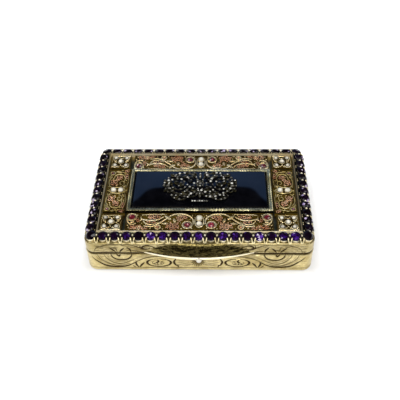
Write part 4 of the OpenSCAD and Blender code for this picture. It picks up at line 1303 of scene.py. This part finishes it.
def short_panel(work):
    """One half of a left or right panel: a thin outer curve, a bold loop and a cluster inside it"""
    work.garnet_ring(*SMALL_GARNET, SMALL_GARNET_R)
    work.wire([(1.7, -2.3), (3.0, -3.5), (5.2, -3.9), (7.2, -3.6), (8.4, -2.8)], 0.3, 0.2, 0.26)
    work.wire([(6.9, -2.2), (8.9, -1.7), (9.9, -0.1), (9.3, 1.6), (7.4, 2.5), (5.4, 2.2)], 0.38, 0.2, 0.26)
    work.wire(arc(4.4, 1.3, 1.9, 1.3, 200, -200, 0.35), 0.26)
    work.leaf(4.6, -2.0, 3.2, 1.5, 6, height=0.6)
    work.leaf(7.6, 0.3, 2.4, 1.5, 75, height=0.6)
    work.flower(6.4, -0.5, 0.62)
    work.grains([(6.9, -2.3), (3.0, -0.6), (8.9, -3.4), (11.0, 0.4), (2.4, 2.5)], 0.34, rose=False)
    work.grains([(2.9 + 0.9 * k, -0.7 + 0.2 * (k % 2)) for k in range(4)])
    work.wire([(10.6, 2.4), (11.2, 0.8), (11.0, -0.8)], 0.24)
    work.leaf(10.7, 2.2, 1.5, 0.7, 100, rose=False)
    work.wire([(2.0, 3.3), (4.6, 3.9), (7.8, 3.8), (10.4, 3.3)], 0.24)
    work.leaf(8.4, 3.2, 3.0, 0.9, -8)
    work.leaf(2.8, 2.8, 2.0, 0.8, 30, rose=False)
    work.leaf(11.6, -0.7, 2.0, 0.8, 80, rose=False)
    work.leaf(8.4, -3.9, 2.4, 0.7, 6, rose=False)
    work.leaf(11.7, 2.9, 1.6, 0.8, 60)
    work.grains([(11.0, 1.4), (12.2, 1.0), (9.6, 2.2), (6.0, 3.1), (2.2, -3.6)], rose=False)


def pearl_mount(shape, pointed):
    """Oval wire round the double pearl, with pointed ends on the short sides"""
    shape.add(hoop(0, 0, GROUND_Z + 0.4, 1.72, 0.22, 1.85))
    for sign in HALVES:
        shape.add(hoop(0, sign * PEARL_OFF, GROUND_Z + 0.35, PEARL_R + 0.05, 0.16))
        if pointed:
            shape.add(leaf(0, sign * 3.6, GROUND_Z + 0.1, 1.2, 0.7, 90 * sign, 0.5))


# Painted glow of the lit garnet on the front, range of the others, share of it away from the front as painted
# shade, and the tone of a facet with a painted glint
LIT_GARNET, GARNET_GLOW, FAR_GARNET, GARNET_SPARK = 0.62, (0.2, 0.42), 0.5, 0.86


def garnet_tints(faces, side, lit):
    """Tone of each facet of one garnet, with a painted glow, less of it away from the front as painted shade,
    and a painted glint on one facet of its dome
    """
    glow = LIT_GARNET if lit else DICE.uniform(*GARNET_GLOW)
    if side != "front":
        glow *= FAR_GARNET
    tints = [glow * DICE.uniform(0.6, 1.1) for _ in faces]
    tints[4 * DICE.randrange(6) + 4] = GARNET_SPARK
    return tints


def panel_dress(side):
    """Filigree, pearls and garnets of one panel"""
    low, high = box_mm("panel_" + side)
    x, y = (low[:2] + high[:2]) / 2
    work = Filigree()
    garnets, pearls = Shape(), Shape()
    if side in LONG_SIDES:
        long_panel(work)
        spots = [(INNER_GARNET, GARNET_R), (END_GARNET, GARNET_R)]
        half, strewn, wire = high[0] - x, 150, "wire"
    else:
        short_panel(work)
        spots = [(SMALL_GARNET, SMALL_GARNET_R)]
        # The short sides' wires take the darker copy of the filigree gilt as painted shade
        half, strewn, wire = high[1] - y, 70, "wire_in_painted_shade"
    work.pounce(half, 4.0, strewn)
    pearl_mount(work.wires, side in SHORT_SIDES)
    for (gx, gy), r in spots:
        for sign in HALVES:
            solid = rose_cut(sign * gx, gy, GROUND_Z + 0.1, r, 0.85 * r, DICE.uniform(0, 60))
            lit = side == "front" and sign > 0 and (gx, gy) == INNER_GARNET
            garnets.add(solid, garnet_tints(solid[1], side, lit))
    for sign in HALVES:
        pearls.add(bead(0, sign * PEARL_OFF, GROUND_Z + 0.6, PEARL_R, 1.0, 24, 16))
    for shape in (work.wires, work.rose, garnets, pearls):
        shape.turn_into(TURNS[side], x, y)
    work.wires.piece("filigree_wires_" + side, wire, "bright_gilt", ["filigree_" + side])
    work.rose.piece("filigree_leaves_" + side, "rose", "rose_gilt")
    garnets.piece("garnet_domes_" + side, "garnet", "garnet", ["garnets_" + side], facets=True)
    pearls.piece("pearl_pair_" + side, "pearl", "pearl", ["pearls_" + side])


# Corner plaques and the strips beside them

PETAL_DULL = (UNDARKENED, 0.6, 0.72)
PETAL_SCALE = 0.85
LEAF_ASIDE, LEAF_TURN = math.degrees(0.28), 35
EDGE_INSET = 0.3
STRIP_DROP, STRIP_COLUMNS = 0.1, 40


def corner_plaque(corner):
    """Five pearls in scrolled collets inside a wire frame, whose wire on the outer side is bold"""
    low, high = box_mm("plaque_" + corner)
    x, y = (low[:2] + high[:2]) / 2
    scrolls, pearls = Shape(), Shape()
    pearls.add(bead(x, y, GROUND_Z + 0.6, PETAL_SCALE * PEARL_R, 1.0, 22, 14))
    scrolls.add(hoop(x, y, GROUND_Z + 0.35, PEARL_R + 0.1, 0.2))
    for quarter in (45, 135, 225, 315):
        px, py = polar(PETAL_OFF * 1.414, quarter, x, y)
        pearls.add(bead(px, py, GROUND_Z + 0.4, PETAL_SCALE * PETAL_R, 1.0, 20, 12), DICE.choice(PETAL_DULL))
        curl = raised(arc(0, 0, 1.2, 1.2, -150, 190, 0.95), GROUND_Z + 0.32)
        scrolls.add(tube(turned(curl, quarter) + (px, py, 0), tapered(len(curl), 0.2, 0.28, 0.16), 7))
        between = quarter + 45
        scrolls.add(bead(*polar(2.1, between, x, y), GROUND_Z + GRAIN_LIFT, 0.34, 0.9, 9, 6))
        for lean in HALVES:
            spot = polar(2.9, between + LEAF_ASIDE * lean, x, y)
            scrolls.add(leaf(*spot, GROUND_Z + 0.06, 1.3, 0.6, between + LEAF_TURN * lean, 0.45))
    half = (high[:2] - low[:2]) / 2 - EDGE_INSET
    edges = np.array([(-1, -1), (1, -1), (1, 1), (-1, 1)]) * half + (x, y)
    outer = 0 if y < 0 else 2
    for k in range(4):
        line, run = even_steps(edges[[k, (k + 1) % 4]], BEAD_STEP / 4)
        thick, knobs = (0.36, 0.0) if k == outer else (0.17, 0.04)
        scrolls.add(tube(raised(line, GROUND_Z + 0.12), thick + knobs * beaded(run), 7))
    scrolls.piece("plaque_scrolls_" + corner, "wire", "bright_gilt")
    pearls.piece("plaque_pearl_set_" + corner, "pearl", "pearl", ["plaque_pearls_" + corner])


def gap_strips():
    """Uneven olive strips that close the gaps between the side panels and the plaques"""
    strips = Shape()
    for side in SHORT_SIDES:
        low, high = box_mm("panel_" + side)
        front_gap = (box_mm("plaque_front_" + side)[1][1], low[1])
        back_gap = (high[1], box_mm("plaque_back_" + side)[0][1])
        for near, far in (front_gap, back_gap):
            grid = []
            for x in np.linspace(low[0], high[0], STRIP_COLUMNS):
                top = GROUND_Z - STRIP_DROP + DICE.uniform(-0.06, 0.06)
                across = ((near, TOP_Z), (near, top), ((near + far) / 2, top + 0.1), (far, top), (far, TOP_Z))
                grid += [(x, y, z) for y, z in across]
            strips.add((grid, grid_faces(STRIP_COLUMNS, 5)))
    strips.piece("gap_strips", "antique", "antique_gilt")


# Onyx and its frame

FRAME_SHADE = {"front": 0.0, "right": 0.2, "back": 0.0, "left": 0.5}
BLOW_STEP, BLOW_DEPTH, FRAME_STEP = 1.1, (0.08, 0.34), 0.13
ONYX_BEVEL, ONYX_DROP, ONYX_DOME = 0.45, 0.7, 0.45
ONYX_COLUMNS, ONYX_ROWS = 161, 81


def hammered_frame():
    """Mitred frame with slanting blows along its top, darker where they are deepest, and painted shade on its
    walls and on some of its sides
    """
    top = FRAME_HIGH[2]
    wide = FRAME_HIGH[0] - ONYX_HIGH[0]
    across = [(0.0, TOP_Z), (0.0, top - 0.3), (0.1, top - 0.1), (0.28, top), (0.5, top + 0.04),
              (0.66, top), (0.76, top - 0.12), (0.78, top - 0.5), (0.78, TOP_Z)]
    columns = len(across)
    shape = Shape()
    for side, turn in TURNS.items():
        half, reach = along_across(side, FRAME_HIGH)
        steps = int(half * 2 / FRAME_STEP)
        blows = [DICE.uniform(*BLOW_DEPTH) for _ in range(int(half * 2 / BLOW_STEP) + 3)]
        grid, tints = [], []
        for t in np.linspace(-1, 1, steps):
            for v, z in across:
                x = t * (half - v * wide)
                along = (x + half) / BLOW_STEP + 0.5 * v
                blow = abs(math.sin(math.pi * along)) ** 0.6
                dent = blows[int(along)] * (1 - blow) + 0.05 * math.sin(5.1 * x + 2 * v)
                grid.append((x, -reach + v * wide, z - (dent if z > TOP_Z + 1.5 else 0)))
                # Painted shade on the frame's walls and on some sides; the blows darker where they are
                # deepest
                shade = 0.5 + 0.5 * max(FRAME_SHADE[side], 1 - 1.5 * blow)
                tints.append(DARK if z < top - 0.15 else shade)
        tints = np.reshape(tints, (steps, columns))[:-1, :-1].ravel()
        shape.add((turned(grid, turn), grid_faces(steps, columns)), tints)
    shape.piece("onyx_frame_hammered", "hammered", "bright_gilt", ["onyx_frame"], sharp=60)


def domed_onyx():
    """Polished plaque with a bevelled border and a slight dome"""
    half_x, half_y, top = ONYX_HIGH
    xs, ys = (np.r_[-half, np.linspace(ONYX_BEVEL - half, half - ONYX_BEVEL, count - 2), half]
              for half, count in ((half_x, ONYX_COLUMNS), (half_y, ONYX_ROWS)))
    x, y = np.meshgrid(xs, ys)
    inside = np.minimum(half_x - np.abs(x), half_y - np.abs(y))
    edge = top - ONYX_DROP * (1 - np.clip(inside / ONYX_BEVEL, 0, 1))
    dome = ONYX_DOME * (1 - np.abs(x / half_x) ** 2.6) * (1 - (y / half_y) ** 2)
    shape = Shape()
    shape.add((np.stack([x, y, edge + dome], axis=2).reshape(-1, 3), grid_faces(ONYX_ROWS, ONYX_COLUMNS)))
    points, faces = slab(half_x, half_y, TOP_Z, top - ONYX_DROP)
    shape.add((points, faces[:-1]))
    shape.piece("onyx_polished", "onyx", "onyx", ["onyx_plaque"], sharp=25)


# Diamond spray

# Right half of a foliate spray, from its middle: radius and points of each curve
SPRAY_CURVES = (
    (0.4, [(0.7, -2.6), (3.0, -5.2), (6.8, -5.6), (10.4, -4.2), (12.6, -0.8), (11.6, 2.4), (8.8, 3.4),
           (6.6, 2.1), (6.8, -0.2), (8.4, -0.9), (9.3, 0.3)]),
    (0.38, [(0.9, 2.0), (1.8, 4.4), (4.2, 6.5), (7.6, 6.8), (10.0, 5.7), (9.6, 4.5), (8.0, 4.7)]),
    (0.34, [(0.5, -3.2), (1.4, -6.0), (3.6, -7.0), (6.4, -6.8), (8.0, -6.0)]),
    (0.3, [(4.4, -6.9), (6.0, -8.1), (8.4, -8.3), (10.7, -7.0), (10.9, -5.6), (9.8, -5.2)]),
    (0.32, [(12.3, 0.4), (13.8, 1.5), (14.6, 0.2), (13.8, -1.2), (13.0, -0.4)]),
    (0.32, [(2.2, 0.4), (4.2, 1.6), (4.6, 3.8), (3.2, 4.6), (2.6, 3.6)]),
    (0.32, [(2.1, -0.8), (4.0, -1.6), (5.2, -3.2), (4.4, -4.4), (3.2, -3.8)]),
    (0.28, [(10.8, 3.0), (12.4, 4.2), (13.2, 3.2), (12.6, 2.2)]),
    (0.28, [(10.8, -3.8), (12.4, -4.2), (13.2, -3.0), (12.4, -2.2)]),
    (0.28, [(4.8, 0.2), (6.2, -2.0), (8.4, -3.0), (10.4, -2.2)]),
    (0.28, [(3.4, 2.4), (5.6, 4.4), (8.0, 5.4), (11.2, 4.8)]),
)

# Leaves of the right half: place, length, width and turn
SPRAY_LEAVES = (
    (2.4, 6.8, 2.4, 1.1, 70), (5.6, 7.6, 2.0, 1.0, 100), (11.0, 6.2, 2.4, 1.0, 30), (14.0, 2.6, 2.0, 0.9, 60),
    (13.6, -2.4, 2.0, 0.9, -50), (9.4, -6.2, 2.4, 1.0, -35), (6.0, -4.2, 2.4, 1.0, 20),
    (9.6, 1.8, 2.2, 1.0, 50), (5.8, 5.2, 2.4, 1.0, 10), (10.8, -1.8, 2.2, 1.0, -70),
    (2.8, -2.4, 2.2, 1.0, 40), (7.6, 0.9, 1.8, 0.9, 80), (4.2, -6.2, 2.2, 0.9, 15), (12.0, 1.4, 2.0, 0.9, 20),
)
SPRAY_SHIFT = 0.6
SPRAY_TAIL = [(0.95 * k, -9.3) for k in range(4)]
SPRAY_STEP, SPRAY_SIZES = 1.9, (0.24, 0.32, 0.4, 0.48)

# Share of stones with painted sparkle, and the tones of sparkling and dark ones
SPRAY_SPARKLE, SPARKLE_TONES, DARK_TONES = 0.5, (0.45, 0.95), (0.0, 0.35)
ROSETTE_R, ROSETTE_Y = 1.4, 0.3


def diamond_spray():
    """Openwork spray of dark silver set with small diamonds"""
    low = SPRAY_HIGH[2] - SPRAY_T
    metalwork, stones = Shape(), Shape()

    def lift(x, y):
        """Height of the wires, highest at the middle"""
        return low + 0.4 + 0.5 * max(0.0, 1 - (x / 16) ** 2 - (y / 11) ** 2)

    def set_stone(x, y, r):
        """One stone in a thin ring, some of them with painted sparkle"""
        solid = rose_cut(x, y + SPRAY_SHIFT, lift(x, y) + 0.24, r, r * 0.85, DICE.uniform(0, 60))
        tones = SPARKLE_TONES if DICE.random() < SPRAY_SPARKLE else DARK_TONES
        stones.add(solid, [DICE.uniform(*tones) for _ in solid[1]])
        metalwork.add(hoop(x, y, lift(x, y) + 0.2, r + 0.04, 0.1, sides=5))

    for r, points in SPRAY_CURVES:
        path = smooth(points)
        wire = [(x, y, lift(x, y)) for x, y in path]
        metalwork.both(tube(wire, tapered(len(wire), 0.8 * r, 0.8 * r, 0.5 * r), 7))
        run = distances(path)
        for place in np.arange(0.4, run[-1], SPRAY_STEP):
            for sign in HALVES:
                spot = place + DICE.uniform(-0.2, 0.2)
                x, y = np.interp(spot, run, path[:, 0]), np.interp(spot, run, path[:, 1])
                set_stone(sign * x, y, DICE.choice(SPRAY_SIZES))
    for x, y, length, width, degrees in SPRAY_LEAVES:
        metalwork.both(leaf(x, y, lift(x, y) - 0.35, 1.3 * length, 1.8 * width, degrees, 0.4))
        for sign in HALVES:
            set_stone(sign * x, y, DICE.uniform(0.22, 0.34))
    for k in range(8):
        x, y = polar(ROSETTE_R, 45 * k, 0, ROSETTE_Y)
        metalwork.add(bead(x, y, lift(x, y), 0.5, 0.8, 9, 6))
        set_stone(x, y, 0.32)
    set_stone(0, ROSETTE_Y, 0.6)
    for y, length, degrees in ((5.2, 3.4, 90), (-5.6, 4.4, -90)):
        metalwork.add(leaf(0, y, lift(0, y), length, 1.5, degrees, 0.5))
        for step in (-1.4, -0.6, 0.2, 1.0):
            set_stone(0, y + step, 0.3)
    metalwork.both(tube([(x, y, lift(x, y)) for x, y in SPRAY_TAIL], 0.24, 7))
    for x, y in SPRAY_TAIL:
        for sign in HALVES if x else (1,):
            set_stone(sign * x, y, 0.36)
    for sign in HALVES:
        post = [(sign * POST_X, POST_Y - SPRAY_SHIFT, z) for z in (ONYX_HIGH[2] - 0.2, low + 0.6)]
        metalwork.add(tube(post, 0.4, 8, up=(0, 1, 0)))
    metalwork.turn_into(0, 0, SPRAY_SHIFT)
    metalwork.piece("spray_openwork", "silver", "dark_silver", ["spray_frame"])
    stones.piece("spray_rose_cuts", "diamond", "diamond", ["spray_diamonds"], facets=True)


# Nodes that keep their own shape

KEPT_LOOKS = {"base_plate": "gilt", "body_bezel": "inside", "lid_lining": "inside", "spray_nuts": "silver",
              "hinge_pin": "bright", "body_hinge_bearer": "gilt", "lid_hinge_bearer": "gilt",
              "body_knuckles": "gilt", "lid_knuckles": "gilt"}
KEPT_LOOKS.update({"panel_" + side: "antique" for side in TURNS})
KEPT_LOOKS.update({"plaque_" + corner: "antique" for corner in CORNERS})


def dress_nodes():
    """Gives the kept nodes their materials"""
    for name, look in KEPT_LOOKS.items():
        materials = NODES[name].data.materials
        materials.clear()
        materials.append(MATERIALS[look])


# Floor, lights and camera

WHITE = (1, 1, 1, 1)

# Colours of the surroundings that the box mirrors
NAVY_LOW, NAVY_HIGH = (0.145, 0.265, 0.53, 1), (0.10, 0.18, 0.38, 1)
HAZE, BLUE_HAZE, GREY_HAZE = (0.35, 0.34, 0.32, 1), (0.2, 0.23, 0.3, 1), (0.2, 0.19, 0.17, 1)
DUSK, NIGHT = (0.06, 0.055, 0.045, 1), (0.004, 0.004, 0.006, 1)

# Dark rounded field in the navy: middle and half size as angles in degrees, and how square it is
FIELD_ASIDE, FIELD_WIDE = -2.2, 11.6
FIELD_HIGH, FIELD_TALL = 62.0, 19.7
FIELD_POWER = 8

# Where the navy ends beside the field, counted in half widths of it
NAVY_END, NAVY_FADE = 2.2, 1.2
FIELD_EDGE, BACK_FADE = (1.15, 0.85), (-0.1, 0.3)

# Floor: its glow, the shade round the box, and the distances in metres where it whitens or dims in mirrors
FLOOR_GLOW, SHADE_DEPTH, SHADE_WIDE = 0.4, 0.34, 0.01
WHITE_FADE, MIRROR_FADE, MIRROR_FAR = (0.2, 1.0), (0.12, 0.4), 0.1

# Lamps: name, place, size and watts
LAMPS = (("left_box", (-0.4, -0.06, 0.46), 0.22, 1.55), ("right_box", (0.4, -0.07, 0.46), 0.22, 1.4),
         ("top_box", (0.0, -0.4, 0.5), 0.3, 2.6), ("back_left_box", (-0.42, 0.34, 0.42), 0.16, 0.6),
         ("back_right_box", (0.42, 0.34, 0.42), 0.16, 0.6))
LAMP_AIM = (0, 0, 0.01)

# Camera of the photograph: place in mm, direction, roll in degrees and lens
CAMERA_PLACE, CAMERA_LOOK = (7.107, -187.138, 193.404), (-0.02792, 0.71694, -0.69657)
CAMERA_ROLL, CAMERA_LENS, CAMERA_SENSOR = -1.4528, 57.6, 36.0


def studio():
    """White floor with a soft shade round the box, dimmer in reflections further off"""
    bpy.ops.mesh.primitive_plane_add(size=8.0)
    floor = bpy.context.object
    floor.name = "floor"
    paint = Paint("floor_white")
    rays = paint.node("ShaderNodeLightPath").outputs
    away = paint.node("ShaderNodeVectorMath", {0: paint.coord}, operation="LENGTH").outputs["Value"]
    split = paint.node("ShaderNodeSeparateXYZ", {0: paint.coord}).outputs
    gaps = [paint.math("SUBTRACT", paint.math("ABSOLUTE", split[axis]), half * MM)
            for axis, half in (("X", HALF_W), ("Y", HALF_D))]
    gap = paint.math("MAXIMUM", *gaps)
    shade = paint.math("MULTIPLY", rays["Is Camera Ray"], paint.span(gap, 0.0, SHADE_WIDE, SHADE_DEPTH, 0.0))
    beside = paint.span(gap, 0.0, SHADE_WIDE, 0.0, FLOOR_GLOW)
    distant = paint.math("MAXIMUM", beside, paint.span(away, *WHITE_FADE))
    seen = paint.math("MULTIPLY", rays["Is Camera Ray"], distant)
    glossy = paint.math("MULTIPLY", rays["Is Glossy Ray"], paint.span(away, *MIRROR_FADE, 1.0, MIRROR_FAR))
    mirror = paint.math("MULTIPLY", paint.math("ADD", glossy, rays["Is Transmission Ray"]), FLOOR_GLOW)
    grain = paint.mix(paint.noise(40.0, 2), srgb(246, 246, 246), srgb(250, 250, 250))
    paint.set(Base_Color=paint.mix(shade, grain, srgb(190, 190, 190)), Roughness=0.9, Specular_IOR_Level=0.1,
              Emission_Color=WHITE, Emission_Strength=paint.math("ADD", seen, mirror))
    floor.data.materials.append(paint.material)


def sky():
    """White where the camera looks; in reflections dark in front, navy behind the box and black high up"""
    world = bpy.data.worlds.new("studio")
    bpy.context.scene.world = world
    world.use_nodes = True
    air = Nodes(world.node_tree)
    coord = air.node("ShaderNodeTexCoord").outputs["Generated"]
    split = air.node("ShaderNodeSeparateXYZ", {0: coord}).outputs

    def share(angle, middle, half):
        """Distance from the middle of the dark field, 1 at its edge"""
        away = air.math("SUBTRACT", angle, math.radians(middle))
        return air.math("DIVIDE", air.math("ABSOLUTE", away), math.radians(half))

    back = air.ramp(split["Z"], [(0.0, HAZE), (0.06, BLUE_HAZE), (0.5, NAVY_LOW), (0.8, NAVY_HIGH),
                                 (1.0, NIGHT)])
    front = air.ramp(split["Z"], [(0.0, HAZE), (0.1, GREY_HAZE), (0.2, DUSK), (1.0, NIGHT)])
    aside = share(air.math("ARCTAN2", split["X"], split["Y"]), FIELD_ASIDE, FIELD_WIDE)
    above = share(air.math("ARCSINE", split["Z"]), FIELD_HIGH, FIELD_TALL)
    reach = air.math("ADD", air.math("POWER", aside, FIELD_POWER), air.math("POWER", above, FIELD_POWER))
    back = air.mix(air.span(reach, *FIELD_EDGE), back, NIGHT)
    back = air.mix(air.span(aside, NAVY_END, NAVY_END + NAVY_FADE), back, front)
    around = air.mix(air.span(split["Y"], *BACK_FADE), front, back)
    rays = air.node("ShaderNodeLightPath").outputs
    air.put(air.tree.nodes["Background"].inputs["Color"], air.mix(rays["Is Camera Ray"], around, WHITE))


def lamp(name, place, size, watts):
    """Square soft lamp that faces the box"""
    light = bpy.data.lights.new(name, "AREA")
    light.size = size
    light.energy = watts
    made = bpy.data.objects.new(name, light)
    made.location = place
    made.rotation_euler = (Vector(LAMP_AIM) - Vector(place)).to_track_quat("-Z", "Y").to_euler()
    bpy.context.scene.collection.objects.link(made)


def photo_camera():
    """Camera at the photograph's angle, with its slight roll"""
    lens = bpy.data.cameras.new("photo_camera")
    lens.lens = CAMERA_LENS
    lens.sensor_width = CAMERA_SENSOR
    lens.clip_start, lens.clip_end = 0.01, 50.0
    made = bpy.data.objects.new("photo_camera", lens)
    made.location = Vector(CAMERA_PLACE) * MM
    look = Vector(CAMERA_LOOK).to_track_quat("-Z", "Y")
    made.rotation_mode = "QUATERNION"
    made.rotation_quaternion = look @ Matrix.Rotation(math.radians(CAMERA_ROLL), 3, "Z").to_quaternion()
    bpy.context.scene.collection.objects.link(made)
    bpy.context.scene.camera = made


# Everything in order

def build():
    """All pieces, in the order that the random draws need, and then the studio"""
    dress_nodes()
    cut = engrave()
    engraved_shell("body_shell", cut, BASE_T, SEAM_LOW, BODY_WALL_T, ["body_wall"], "body")
    engraved_shell("lid_shell", cut, LID_Z, TOP_Z, LID_WALL_T, ["lid_wall", "lid_plate"], "lid", PLATE_Z)
    thumb_lip()
    thumb_bead()
    for side in TURNS:
        stone_border(side)
        panel_dress(side)
    for corner in CORNERS:
        corner_plaque(corner)
    gap_strips()
    gallery_bed()
    round_rail()
    hammered_frame()
    domed_onyx()
    diamond_spray()
    studio()
    sky()
    for row in LAMPS:
        lamp(*row)
    photo_camera()
    bpy.context.scene.view_settings.view_transform = "Standard"


build()
